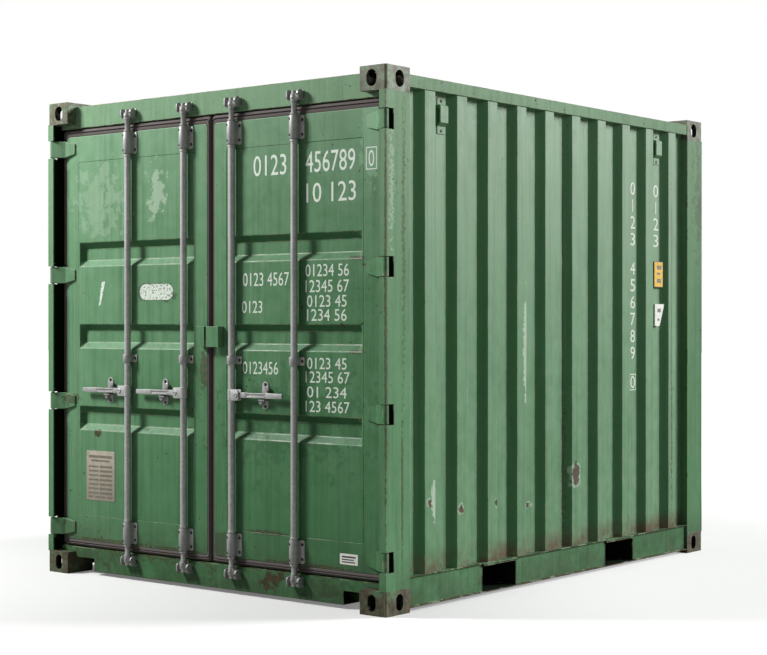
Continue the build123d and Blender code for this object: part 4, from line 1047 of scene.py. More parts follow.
def ring_form(loops):
    """Return a closed ring through loops of corners, the last joined to the first."""
    part = bmesh.new()
    rings = [[part.verts.new(corner) for corner in loop] for loop in loops]
    for first, second in zip(rings, rings[1:] + rings[:1]):
        for index in range(len(first)):
            after = (index + 1) % len(first)
            part.faces.new((first[index], first[after], second[after], second[index]))
    bmesh.ops.recalc_face_normals(part, faces=part.faces[:])
    return part


def framed(outer, inner, low, high, turn):
    """Return a closed frame between two outlines of as many corners, from low to high."""
    part = ring_form([
        [(a, b, low) for a, b in outer], [(a, b, high) for a, b in outer],
        [(a, b, high) for a, b in inner], [(a, b, low) for a, b in inner],
    ])
    part.transform(turn)
    bmesh.ops.recalc_face_normals(part, faces=part.faces[:])
    return part


def knob(x, y, z, rings):
    """Return a round form that faces the door end, from (height above y, radius) pairs."""
    part = turned(rings, (0, 0), segments=20)
    part.transform(Matrix.Translation((x, y, z)) @ FACING)
    return part


def solids(node):
    """Return the lowest and highest corner of each solid of a plain node, by X and then by Z."""
    work = bmesh.new()
    work.from_mesh(frame["nodes"][node].data)
    bmesh.ops.remove_doubles(work, verts=work.verts, dist=SAME_CORNER)
    boxes, seen = [], set()
    for start in work.verts:
        if start in seen:
            continue
        seen.add(start)
        queue, found = [start], []
        while queue:
            corner = queue.pop()
            found.append(corner.co.copy())
            for edge in corner.link_edges:
                other = edge.other_vert(corner)
                if other not in seen:
                    seen.add(other)
                    queue.append(other)
        boxes.append([
            Vector([pick(co[axis] for co in found) for axis in range(3)]) for pick in (min, max)
        ])
    work.free()
    return sorted(boxes, key=lambda box: (round(box[0].x, 2), round(box[0].y, 2), box[0].z))


def surface_of(piece):
    """Return a search tree of a piece's faces, for laying things onto it."""
    work = bmesh.new()
    work.from_mesh(piece.data)
    tree = BVHTree.FromBMesh(work)
    work.free()
    return tree


def laid(tree, place, facing, lift):
    """Return the place on a surface that a line against the facing meets, lifted off it a little."""
    hit = tree.ray_cast(Vector(place) + 3 * facing, -facing)[0] or Vector(place)
    return hit + facing * lift


def joined(parts):
    """Return one bmesh with all the closed forms of a list."""
    whole = bmesh.new()
    for part in parts:
        one = bpy.data.meshes.new("part")
        part.to_mesh(one)
        part.free()
        whole.from_mesh(one)
        bpy.data.meshes.remove(one)
    return whole


def digit_form(text):
    """Return the raised digits of a text in the built-in font, lying on the XY plane."""
    curve = bpy.data.curves.new("digits", "FONT")
    curve.body = text
    curve.resolution_u = 3
    curve.extrude = 0.5
    holder = bpy.data.objects.new("digits", curve)
    bpy.context.scene.collection.objects.link(holder)
    mesh = bpy.data.meshes.new_from_object(holder.evaluated_get(bpy.context.evaluated_depsgraph_get()))
    part = bmesh.new()
    part.from_mesh(mesh)
    bmesh.ops.remove_doubles(part, verts=part.verts, dist=0.0001)
    bpy.data.objects.remove(holder)
    bpy.data.curves.remove(curve)
    bpy.data.meshes.remove(mesh)
    return part


def fitted(part, left, right, bottom, top):
    """Stretch flat digits into a rectangle."""
    (x0, x1), (y0, y1) = (
        (min(v.co[axis] for v in part.verts), max(v.co[axis] for v in part.verts)) for axis in (0, 1)
    )
    tall = (top - bottom) / (y1 - y0)
    wide = (right - left) / (x1 - x0)
    for vert in part.verts:
        vert.co.x = (left + right) / 2 + (vert.co.x - (x0 + x1) / 2) * wide
        vert.co.y = bottom + (vert.co.y - y0) * tall
    return part


def painted(name, parts, place, material, body, thickness=0.0003):
    """Lay flat forms onto a surface as a thin coat of paint: place(a, b, lift) gives the point."""
    whole = joined(parts)
    for vert in whole.verts:
        vert.co = place(vert.co.x, vert.co.y, thickness if vert.co.z > 0 else 0.0)
    bmesh.ops.recalc_face_normals(whole, faces=whole.faces[:])
    mesh = bpy.data.meshes.new(name)
    whole.to_mesh(mesh)
    whole.free()
    piece = new_piece(name, mesh, material)
    settle(piece, [], body, "green_paint")
    return piece


def bolts_form(name):
    """Build the tree that sets a washer and a six-sided head on each point of a mesh."""
    tree, given, result = new_form(name, [
        ("Points", "NodeSocketGeometry", None), ("Radius", "NodeSocketFloat", 0.006),
        ("Head", "NodeSocketFloat", 0.004), ("Facing", "NodeSocketVector", (0, -1, 0)),
        ("Seed", "NodeSocketInt", 0),
    ])
    head = put(tree, "GeometryNodeMeshCylinder", {
        "Vertices": 6, "Radius": given["Radius"], "Depth": sums(tree, "MULTIPLY", given["Head"], 2),
    }).outputs["Mesh"]
    washer = put(tree, "GeometryNodeMeshCylinder", {
        "Vertices": 16, "Radius": sums(tree, "MULTIPLY", given["Radius"], 1.5),
        "Depth": sums(tree, "MULTIPLY", given["Head"], 0.5),
    }).outputs["Mesh"]
    both = put(tree, "GeometryNodeJoinGeometry")
    tree.links.new(head, both.inputs[0])
    tree.links.new(washer, both.inputs[0])
    roll = put(tree, "FunctionNodeRandomValue", {"Seed": given["Seed"]}, data_type="FLOAT")
    feed(tree, roll.inputs[3], math.pi / 3)
    spin = put(tree, "ShaderNodeCombineXYZ", {"Z": roll.outputs[1]}).outputs[0]
    turn = put(tree, "FunctionNodeAlignEulerToVector", {
        "Rotation": spin, "Vector": given["Facing"],
    }, axis="Z")
    placed = put(tree, "GeometryNodeInstanceOnPoints", {
        "Points": given["Points"], "Instance": both.outputs[0], "Rotation": turn.outputs[0],
    }).outputs[0]
    return close_form(tree, given, result, placed)


def bolted(name, places, facing, material, body, radius=0.006, head=0.004, seed=0):
    """Set bolts at these places, as one piece."""
    points = bpy.data.meshes.new(name)
    points.from_pydata([tuple(place) for place in places], [], [])
    piece = formed(
        name, form_named("bolt_heads", bolts_form), material,
        {"Radius": radius, "Head": head, "Facing": facing, "Seed": seed}, mesh=points,
    )
    settle(piece, [], body, "zinc")
    return piece


def beads_form(name):
    """Build the tree that lays an uneven weld bead along each edge path of a mesh."""
    tree, given, result = new_form(name, [
        ("Paths", "NodeSocketGeometry", None), ("Radius", "NodeSocketFloat", 0.004),
        ("Step", "NodeSocketFloat", 0.007), ("Unevenness", "NodeSocketFloat", 0.7),
    ])
    curve = put(tree, "GeometryNodeMeshToCurve", {"Mesh": given["Paths"]}).outputs[0]
    curve = put(tree, "GeometryNodeResampleCurve", {
        "Curve": curve, "Length": given["Step"],
    }, mode="LENGTH").outputs[0]
    waves = put(tree, "ShaderNodeTexNoise", {
        "Vector": put(tree, "GeometryNodeInputPosition").outputs[0], "Scale": 120.0, "Detail": 1.0,
    }).outputs["Fac"]
    swell = sums(tree, "MULTIPLY_ADD", sums(tree, "SUBTRACT", waves, 0.5), given["Unevenness"], 1)
    curve = put(tree, "GeometryNodeSetCurveRadius", {"Curve": curve, "Radius": swell}).outputs[0]
    ring = put(tree, "GeometryNodeCurvePrimitiveCircle", {
        "Resolution": 6, "Radius": given["Radius"],
    }).outputs[0]
    bead = put(tree, "GeometryNodeCurveToMesh", {
        "Curve": curve, "Profile Curve": ring, "Fill Caps": True,
    }).outputs[0]
    bead = put(tree, "GeometryNodeSetShadeSmooth", {"Geometry": bead, "Shade Smooth": True}).outputs[0]
    return close_form(tree, given, result, bead)


def welded(name, paths, material, body, radius=0.004):
    """Lay weld beads along these paths, each a list of points, as one piece."""
    corners = [tuple(point) for path in paths for point in path]
    edges, start = [], 0
    for path in paths:
        edges += [(start + index, start + index + 1) for index in range(len(path) - 1)]
        start += len(path)
    mesh = bpy.data.meshes.new(name)
    mesh.from_pydata(corners, edges, [])
    piece = formed(name, form_named("weld_beads", beads_form), material, {"Radius": radius}, mesh=mesh)
    settle(piece, [], body, "green_paint")
    return piece


class CONTAINER_OT_stage(bpy.types.Operator):
    """Make the pale floor, the white surroundings, the soft lamps and the camera"""

    bl_idname = "container.stage"
    bl_label = "Stage"

    def execute(self, context):
        settings = context.scene.container_stage
        context.scene.view_settings.view_transform = "Standard"
        self.make_floor()
        self.make_sky(context, settings)
        self.make_lamps(context, settings)
        self.make_camera(context, settings)
        return {"FINISHED"}

    def make_floor(self):
        """Lay a large pale floor that keeps the shadow and runs out to white, with painted light towards
        the right and painted shade at the front left.
        """
        reach = 60
        mesh = bpy.data.meshes.new("floor")
        corners = [(-reach, -reach, 0), (reach, -reach, 0), (reach, reach, 0), (-reach, reach, 0)]
        mesh.from_pydata(corners, [], [(0, 1, 2, 3)])
        floor = bpy.data.objects.new("floor", mesh)
        bpy.context.scene.collection.objects.link(floor)
        material = bpy.data.materials.new("pale_floor")
        material.use_nodes = True
        tree = material.node_tree
        tree.nodes.clear()
        matte = put(tree, "ShaderNodeBsdfDiffuse", {"Color": (0.66, 0.66, 0.65)})
        unseen = put(tree, "ShaderNodeBsdfDiffuse", {"Color": (0.32, 0.33, 0.31)})
        place = own_place(tree)
        outward = ramp(tree, vectors(tree, "LENGTH", place), 2.2, 7.0, 0.26, 1.0)
        # Painted light and shade on the floor: the glow is raised towards the right, painting out the
        # front lamp's shadow there, and lowered at the front left, painting a deeper shadow.
        along = vectors(tree, "DOT_PRODUCT", place, (0.77, 0.64, 0))
        lift = sums(tree, "ADD", outward, ramp(tree, along, -0.8, 1.4, -0.09, 0.20))
        glow = put(tree, "ShaderNodeEmission", {"Color": (1, 1, 1), "Strength": lift})
        seen = put(tree, "ShaderNodeLightPath").outputs["Is Camera Ray"]
        both = put(tree, "ShaderNodeAddShader")
        tree.links.new(matte.outputs[0], both.inputs[0])
        tree.links.new(glow.outputs[0], both.inputs[1])
        chosen = put(tree, "ShaderNodeMixShader", {0: seen})
        tree.links.new(unseen.outputs[0], chosen.inputs[1])
        tree.links.new(both.outputs[0], chosen.inputs[2])
        output = put(tree, "ShaderNodeOutputMaterial")
        tree.links.new(chosen.outputs[0], output.inputs["Surface"])
        wearing(floor, material)

    def make_sky(self, context, settings):
        """Light evenly from all round, and show white behind the container."""
        world = context.scene.world or bpy.data.worlds.new("surroundings")
        context.scene.world = world
        world.use_nodes = True
        tree = world.node_tree
        tree.nodes.clear()
        path = put(tree, "ShaderNodeLightPath").outputs
        shown = sums(tree, "MAXIMUM", path["Is Camera Ray"], path["Is Transmission Ray"])
        shown = sums(tree, "MAXIMUM", shown, sums(tree, "MULTIPLY", path["Is Glossy Ray"], 0.45))
        strength = sums(tree, "MAXIMUM", shown, settings.sky)
        glow = put(tree, "ShaderNodeBackground", {"Color": (1, 1, 1), "Strength": strength})
        output = put(tree, "ShaderNodeOutputWorld")
        tree.links.new(glow.outputs[0], output.inputs["Surface"])

    def make_lamps(self, context, settings):
        """Hang a soft sun behind on the right and a soft box in front on the left."""
        sun = bpy.data.lights.new("key_light", "SUN")
        sun.energy = settings.key_strength
        sun.angle = settings.key_spread
        key = bpy.data.objects.new("key_light", sun)
        key.rotation_euler = Vector(settings.key_from).to_track_quat("Z", "Y").to_euler()
        box = bpy.data.lights.new("fill_light", "AREA")
        box.energy = settings.fill_power
        box.size = settings.fill_size
        fill = bpy.data.objects.new("fill_light", box)
        fill.location = settings.fill_place
        aim = Vector((0.0, DOOR_END, 1.4)) - fill.location
        fill.rotation_euler = aim.to_track_quat("-Z", "Y").to_euler()
        for lamp in (key, fill):
            context.scene.collection.objects.link(lamp)

    def make_camera(self, context, settings):
        """Stand the camera off the right-hand door corner."""
        data = bpy.data.cameras.new("camera")
        data.sensor_width = 36
        data.lens = settings.lens
        data.shift_x = settings.camera_shift
        camera = bpy.data.objects.new("camera", data)
        camera.location = settings.camera_place
        camera.rotation_euler = (math.pi / 2 + settings.camera_tilt, 0, settings.camera_turn)
        context.scene.collection.objects.link(camera)
        context.scene.camera = camera


class CONTAINER_OT_steel_frame(bpy.types.Operator):
    """Round and paint the posts, beams, rails and pockets"""

    bl_idname = "container.steel_frame"
    bl_label = "Steel frame"

    def execute(self, context):
        post_x, post_y = 1.2, DOOR_END + 0.13
        frame_paint = material_named(
            "frame_paint", paint, shine=0.08, fading=0.50, streaking=0.4, chips=0.75, wear=0.5,
            runs=0.35, chalk=0.55, patches=[
                ("rust", (post_x, post_y, 1.75), (0.04, 0.012, 0.55), 0.45),
                ("rust", (post_x, post_y - 0.01, 0.62), (0.04, 0.010, 0.42), 0.55),
                ("scraped", (post_x, post_y - 0.09, 2.05), (0.04, 0.018, 0.25), 0.45),
                ("rust", (1.2, -DOOR_END - 0.05, 2.15), (0.04, 0.05, 0.35), 0.30),
                ("rust", (1.217, DOOR_END + 0.002, 1.5), (0.009, 0.009, 1.05), 0.60),
            ],
        )
        low_paint = material_named(
            "low_paint", paint, shine=0.15, fading=0.26, streaking=0.45, chips=0.85, wear=0.75,
            runs=0.5, dirt=0.5, patches=[
                ("rust", (0.42, DOOR_END, 0.105), (0.10, 0.10, 0.070), 0.80),
                ("rust", (0.0, DOOR_END, 0.11), (0.030, 0.10, 0.070), 0.45),
                ("rust", (-0.42, DOOR_END, 0.14), (0.20, 0.10, 0.025), 0.45),
                ("grime", (0.80, DOOR_END, 0.09), (0.30, 0.10, 0.05), 0.40),
                ("grime", (-0.90, DOOR_END, 0.10), (0.25, 0.10, 0.06), 0.40),
            ],
        )
        cast_paint = material_named(
            "cast_paint", paint, fading=0.45, streaking=0.6, chips=0.9, wear=0.35, runs=0.6,
            dirt=0.95, rusting=1.25, chalk=0.8, soil=(0.9, 0.06),
        )
        posts = ("right_door_post", "left_door_post", "right_end_post", "left_end_post")
        for node in (*posts, "door_header", "end_header", "right_top_rail", "left_top_rail"):
            piece = softened(node, 0.003, frame_paint)
            if "door_post" in node:
                # Painted shade: the inside of each door post's channel is painted near black.
                shade_faces(piece, lambda place, facing: (
                    abs(place.x) < SIDE - 0.004 and DOOR_END + 0.006 < place.y < DOOR_END + 0.11
                    and 0.28 < place.z < 2.43
                ))
        for node in ("door_sill", "end_sill", "right_bottom_rail", "left_bottom_rail",
                     "fork_pockets", "cross_members"):
            piece = softened(node, 0.0025, low_paint)
            if node == "fork_pockets":
                # Painted shade: the insides of the fork pockets are painted near black.
                shade_faces(piece, lambda place, facing: abs(place.x) < SIDE - 0.05)
        for node in ("top_corner_castings", "bottom_corner_castings"):
            piece = softened(node, 0.004, cast_paint, segments=3)
            low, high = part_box(node)
            # Painted shade: faces inside the corner castings' hollows are painted near black.
            shade_faces(piece, lambda place, facing: (
                0.008 < SIDE - abs(place.x) < 0.150 and 0.008 < -DOOR_END - abs(place.y) < 0.165
                and low.z + 0.008 < place.z < high.z - 0.008
            ))
        paths, inset = [], 0.0025
        for node in posts:
            low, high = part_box(node)
            for z in (low.z, high.z):
                x0, x1, y0, y1 = low.x + inset, high.x - inset, low.y + inset, high.y - inset
                paths.append([(x0, y0, z), (x1, y0, z), (x1, y1, z), (x0, y1, z), (x0, y0, z)])
        welded("post_welds", paths, cast_paint, "container", 0.003)
        return {"FINISHED"}


class CONTAINER_OT_sheets(bpy.types.Operator):
    """Press and paint the corrugated walls and the roof, and lay the floor"""

    bl_idname = "container.sheets"
    bl_label = "Walls, roof and floor"

    def execute(self, context):
        sizes = context.scene.container_sheets
        patches = []
        for box in WALL_RUST:
            patches += [
                wall_patch("scraped", box, 0.5, (1.1, 1.05)),
                wall_patch("rust", box, 0.95, (0.85, 0.85)),
            ]
        patches += [wall_patch("scraped", box, 0.75) for box in WALL_SCRAPES]
        for y0, y1, z0, z1 in WALL_SEAMS:
            patches += [
                wall_patch("grime", (y0, y1, z0, z1), 0.6),
                wall_patch("rust", (y0 - 2, y1 + 12, z0, z0 + 700), 0.4),
            ]
        wall_paint = material_named(
            "wall_paint", paint, fading=0.52, streaking=0.35, chips=0.5, wear=0.2, runs=0.3,
            across=("Y", 1.5, -0.9, 0.45), patches=patches, chalk=0.5, dirt=0.9,
            soil=(0.31, 0.16), mud="rust",
        )
        for seed, (side, turn) in enumerate((("right", -90), ("left", 90))):
            self.wall(f"{side}_side_wall", sizes, wall_paint, turn, seed)
        self.wall("end_wall", sizes, wall_paint, 0, 2)
        self.roof(sizes, wall_paint)
        dark = material_named("dark_bolts", label_material)
        for side, out in (("right", 1), ("left", -1)):
            vents = softened(f"{side}_vents", 0.004, wall_paint, segments=3)
            facing = Vector((out, 0, 0))
            low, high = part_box(f"{side}_vents")
            tree = surface_of(vents)
            places = [
                laid(tree, (0, y, z), facing, 0)
                for y in (low.y + 0.031, high.y - 0.031) for z in (low.z + 0.015, high.z - 0.015)
            ]
            bolted(f"{side}_vent_bolts", places, facing, dark, "container", 0.006, 0.004, seed=4)
        wearing(frame["nodes"]["floor_boards"], material_named("floor_plywood", plywood_material))
        return {"FINISHED"}

    def roof(self, sizes, material):
        """Press the roof sheet, with its shallow ribs across."""
        low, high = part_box("roof_panel")
        half = (sizes.rib_length / 2, sizes.rib_base / 2)
        slopes = (sizes.rib_end_slope, (sizes.rib_base - sizes.rib_flat) / 2)
        middle = (sizes.ribs - 1) / 2
        centres = [(index - middle) * sizes.rib_pitch for index in range(sizes.ribs)]
        flat = low.z + sizes.thickness
        rise = high.z - flat

        def point(x, y):
            lift = sum(
                pressed((half[0] - abs(x), half[1] - abs(y - centre)), slopes, rise, sizes.bend_radius)
                for centre in centres
            )
            return (x, y, flat + lift)

        bends_x = [side * (half[0] - step) for side in (-1, 1) for step in (0, slopes[0])]
        bends_y = [
            centre + side * (half[1] - step)
            for centre in centres for side in (-1, 1) for step in (0, slopes[1])
        ]
        us = grid_lines(low.x, high.x, bends_x, sizes.bend_radius, 0.06)
        vs = grid_lines(low.y, high.y, bends_y, sizes.bend_radius, 0.06)
        settle(sheet_piece("roof_sheet", us, vs, point, material, sizes.thickness), ["roof_panel"])

    def wall(self, node, sizes, material, degrees, seed):
        """Press one wall in the place of its plain node."""
        low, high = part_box(node)
        across = node == "end_wall"
        length = high.x - low.x if across else high.y - low.y
        outer = high.y if across else max(high.x, -low.x)
        turn = Matrix.Rotation(math.radians(degrees), 4, "Z")
        place = turn @ Matrix.Translation((0, outer - sizes.depth, low.z))
        piece = formed(
            f"{node}_sheet", form_named("pressed_ridges", ridges_form), material,
            {
                "Length": length, "Height": high.z - low.z,
                "Ridges": sizes.end_ridges if across else sizes.side_ridges, "Pitch": sizes.pitch,
                "Flat": sizes.end_flat if across else sizes.side_flat,
                "Slope": sizes.end_slope if across else sizes.side_slope,
                "Depth": sizes.depth, "Bend radius": sizes.bend_radius,
                "Rows": 44, "Dent": sizes.dent, "Seed": float(seed),
            },
            place=place,
            finish=[("SOLIDIFY", {"thickness": sizes.thickness, "offset": -1})],
        )
        piece.data.set_sharp_from_angle(angle=SHARP_BEND)
        mark_edges(piece.data, WORN_WIDTH)
        # Painted shade: the slopes of the side walls are painted deeper and greener than the flats.
        shade_faces(piece, lambda place, facing: GREEN_SHADE_LEVEL * (abs(facing.y) > 0.4 and not across))
        settle(piece, [node])


class CONTAINER_OT_doors(bpy.types.Operator):
    """Press and paint the door leaves, and fit their seals and hinges"""

    bl_idname = "container.doors"
    bl_label = "Doors"

    def execute(self, context):
        front = DOOR_END + 0.058
        # Painted light: the leaves are painted paler towards the left and deeper towards the right, as
        # the front lamp's light falls off across them.
        leaf_paint = material_named(
            "leaf_paint", paint, fading=0.14, streaking=0.4, chips=0.85, wear=0.16, runs=0.3,
            across=("X", -1.1, 0.7, 0.42), chalk=0.15, soil=(0.40, 0.12),
            patches=[
                (tint, (x, front, z), (half_x, 0.12, half_z), strength)
                for tint, x, z, half_x, half_z, strength in LEAF_PATCHES
            ],
        )
        rubber = material_named("seal_rubber", rubber_material)
        for side in ("left", "right"):
            softened(f"{side}_leaf_frame", 0.004, leaf_paint)
            self.panel(f"{side}_leaf_panel", context.scene.container_sheets, leaf_paint)
            softened(f"{side}_hinge_blades", 0.005, leaf_paint, segments=4)
            softened(f"{side}_seal_cover", 0.002, leaf_paint)
            self.gasket(side, rubber)
        return {"FINISHED"}

    def gasket(self, side, material):
        """Lay the seal round a leaf: an inner band, a groove, and an outer lip that falls away."""
        low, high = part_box(f"{side}_gasket")
        edge_low, edge_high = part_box(f"{side}_leaf_frame")
        corner = 0.016
        inner = rounded_loop(edge_low.x, edge_high.x, edge_low.z, edge_high.z, corner)
        outer = rounded_loop(low.x, high.x, low.z, high.z, corner)
        front = low.y
        profile = [
            (0.0, high.y), (0.0, front + 0.002), (0.05, front), (0.40, front), (0.45, front + 0.007),
            (0.53, front + 0.007), (0.58, front + 0.001), (0.64, front), (0.92, front + 0.007),
            (1.0, front + 0.013), (1.0, high.y),
        ]
        loops = [
            [
                (a + (c - a) * share, depth, b + (d - b) * share)
                for (a, b), (c, d) in zip(inner, outer)
            ] for share, depth in profile
        ]
        piece = assembled(f"{side}_seal", [ring_form(loops)], material, sharp=50)
        count = len(inner)
        # The outer lip's faces carry the lip mark, which the rubber paints with a highlight.
        lip = [float(7 <= face.index // count < 9) for face in piece.data.polygons]
        piece.data.attributes.new("lip", "FLOAT", "FACE").data.foreach_set("value", lip)
        settle(piece, [f"{side}_gasket"])

    def panel(self, node, sizes, material):
        """Press the sheet of one leaf, with its three troughs."""
        low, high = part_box(node)
        middle = (low.x + high.x) / 2
        half_length = (high.x - low.x) / 2 - sizes.trough_gap
        deep = high.y - low.y - sizes.door_thickness
        slopes = (sizes.trough_end_slope, (sizes.trough_height - sizes.trough_flat) / 2)
        reach = (half_length, sizes.trough_height / 2)
        centres = [place * MM for place in sizes.trough_places]

        def point(x, z):
            depth = sum(
                pressed(
                    (reach[0] - abs(x - middle), reach[1] - abs(z - centre)),
                    slopes, deep, sizes.bend_radius / 2,
                ) for centre in centres
            )
            return (x, low.y + depth, z)

        bends_x = [middle + side * (reach[0] - step) for side in (-1, 1) for step in (0, slopes[0])]
        bends_z = [
            centre + side * (reach[1] - step)
            for centre in centres for side in (-1, 1) for step in (0, slopes[1])
        ]
        us = grid_lines(low.x, high.x, bends_x, sizes.bend_radius, 0.03)
        vs = grid_lines(low.z, high.z, bends_z, sizes.bend_radius, 0.03)
        piece = sheet_piece(f"{node}_sheet", us, vs, point, material, sizes.door_thickness)
        # Painted shade: the troughs' upper slopes and left ends are painted darker.
        shade_faces(piece, lambda place, facing: (
            0.6 * (facing.y < 0 and (facing.z < -0.3 or facing.x > 0.3))
        ))
        settle(piece, [node])


class CONTAINER_OT_markings(bpy.types.Operator):
    """Paint plain numbers on the doors and the right wall, and fix blank plates and labels"""

    bl_idname = "container.markings"
    bl_label = "Markings and plates"

    def execute(self, context):
        white = material_named("worn_marking", marking_material)
        faint = material_named("faint_marking", marking_material, flaking=0.10)
        ghost = material_named("ghost_paint", label_material)
        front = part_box("right_leaf_panel")[0].y
        wall = surface_of(bpy.data.objects["right_side_wall_sheet"])

        def on_door(a, b, lift):
            return (a, front - lift, b)

        def on_wall(a, b, lift):
            return laid(wall, (0, a, b), Vector((1, 0, 0)), lift)

        painted("door_numbers", self.rows(DOOR_ROWS), on_door, white, "right_door")
        painted("door_box", [self.border(1.047, 1.115, 2.107, 2.215)], on_door, white, "right_door")
        triangle = [(-0.954, 1.606), (-0.860, 1.461), (-0.765, 1.606)]
        scratch = [(-0.812, 1.604), (-0.848, 1.480), (-0.866, 1.466), (-0.840, 1.604)]
        rest = [(a - 0.408, b + 1.542) for a, b in oval(0.255, 0.084)]
        for name, outline, material, lift in (
            ("ghost_of_a_label", triangle, ghost, 0.0003), ("scratch", scratch, faint, 0.0006),
            ("rest_of_a_label", rest, faint, 0.0003),
        ):
            painted(name, [prism(outline, 0, 1, Matrix())], on_door, material, "left_door", lift)
        painted("wall_numbers", self.columns(), on_wall, white, "container", 0.0006)
        self.plates(front)
        return {"FINISHED"}

    def rows(self, rows):
        """Return the digit forms of rows given in mm as (text, left, right, bottom, top)."""
        return [
            fitted(digit_form(text), *(value * MM for value in sizes)) for text, *sizes in rows
        ]

    def border(self, left, right, bottom, top):
        """Return a thin square frame."""
        outer = [(left, bottom), (right, bottom), (right, top), (left, top)]
        left, right = left + BOX_LINE, right - BOX_LINE
        bottom, top = bottom + BOX_LINE, top - BOX_LINE
        inner = [(left, bottom), (right, bottom), (right, top), (left, top)]
        return framed(outer, inner, 0, 1, Matrix())

    def columns(self):
        """Return the upright rows of digits on the right wall, the long one ending in a box."""
        parts = []
        for texts, middle, z, half in WALL_COLUMNS:
            for text in texts:
                if text == " ":
                    z -= SPACE_PITCH
                    continue
                narrow = half * (0.16 if text == "1" else 1)
                parts += self.rows([(text, middle - narrow, middle + narrow, z - DIGIT_HEIGHT, z)])
                z -= DIGIT_PITCH
            if len(texts) > 8:
                beside, above = BOX_MARGINS
                last = z + DIGIT_PITCH
                edges = (
                    middle - half - beside, middle + half + beside,
                    last - DIGIT_HEIGHT - above, last + above,
                )
                parts.append(self.border(*(value * MM for value in edges)))
        return parts

    def plates(self, front):
        """Fix the data plate, the labels and the yellow plate, with plain bars on them."""
        metal, bars, paper, ink, yellow = (
            material_named(name, label_material)
            for name in ("plate_metal", "plate_bars", "pale_label", "label_bars", "yellow_label")
        )
        door = Matrix.Translation((0, front, 0)) @ FACING
        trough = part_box("right_side_wall")[1].x - bpy.context.scene.container_sheets.depth
        side = Matrix.Translation((trough, 0, 0)) @ SIDEWAYS
        plate = [prism(rounded_loop(-0.964, -0.735, 0.410, 0.681, 0.006), 0, 0.002, door, 0.0006)]
        plate += [
            knob(x, front, z, [(0.002, 0.004), (0.0028, 0.004), (0.0036, 0.0025)])
            for x in (-0.954, -0.745) for z in (0.420, 0.671)
        ]
        fixed("data_plate", plate, metal, "left_door", "zinc")
        fields = [(-0.945, -0.755, 0.642, 0.656), (-0.925, -0.775, 0.622, 0.632)]
        for row in range(7):
            z = 0.590 - row * 0.024
            fields += [(-0.945, -0.865, z, z + 0.009), (-0.855, -0.755, z - 0.001, z + 0.011)]
        fields += [(x, x + 0.038, 0.424, 0.434) for x in (-0.945, -0.895, -0.845, -0.795)]
        self.bars("data_plate_fields", fields, door, 0.002, bars, "left_door")
        label = prism(rounded_loop(0.882, 0.996, 0.217, 0.269, 0.004), 0, 0.0006, door)
        fixed("door_label", [label], paper, "right_door")
        lines = [(0.895, 0.983, 0.250, 0.258), (0.895, 0.970, 0.238, 0.244), (0.895, 0.978, 0.226, 0.232)]
        self.bars("door_label_bars", lines, door, 0.0006, ink, "right_door")
        block = prism(rounded_loop(0.984, 1.081, 1.586, 1.736, 0.003), 0.001, 0.015, side)
        fixed("yellow_label_back", [block], ink, "container")
        square = prism(rounded_loop(0.984, 1.077, 1.590, 1.733, 0.003), 0.0148, 0.0162, side)
        fixed("yellow_label", [square], yellow, "container")
        lines = [(1.012, 1.064, 1.690, 1.714), (1.012, 1.050, 1.660, 1.672), (1.012, 1.058, 1.612, 1.636)]
        self.bars("yellow_label_bars", lines, side, 0.0162, bars, "container")
        flag = [(0.986, 1.488), (0.986, 1.360), (1.038, 1.360), (1.092, 1.488)]
        fixed("wall_label", [prism(flag, 0.001, 0.0185, side)], paper, "container")
        lines = [(1.014, 1.052, 1.440, 1.462), (1.014, 1.036, 1.390, 1.404)]
        self.bars("wall_label_bars", lines, side, 0.0185, bars, "container")

    def bars(self, name, fields, turn, base, material, body):
        """Lay plain bars on a plate, with no words in them."""
        parts = []
        for left, right, bottom, top in fields:
            corners = [(left, bottom), (right, bottom), (right, top), (left, top)]
            parts.append(prism(corners, base, base + 0.0004, turn))
        fixed(name, parts, material, body)


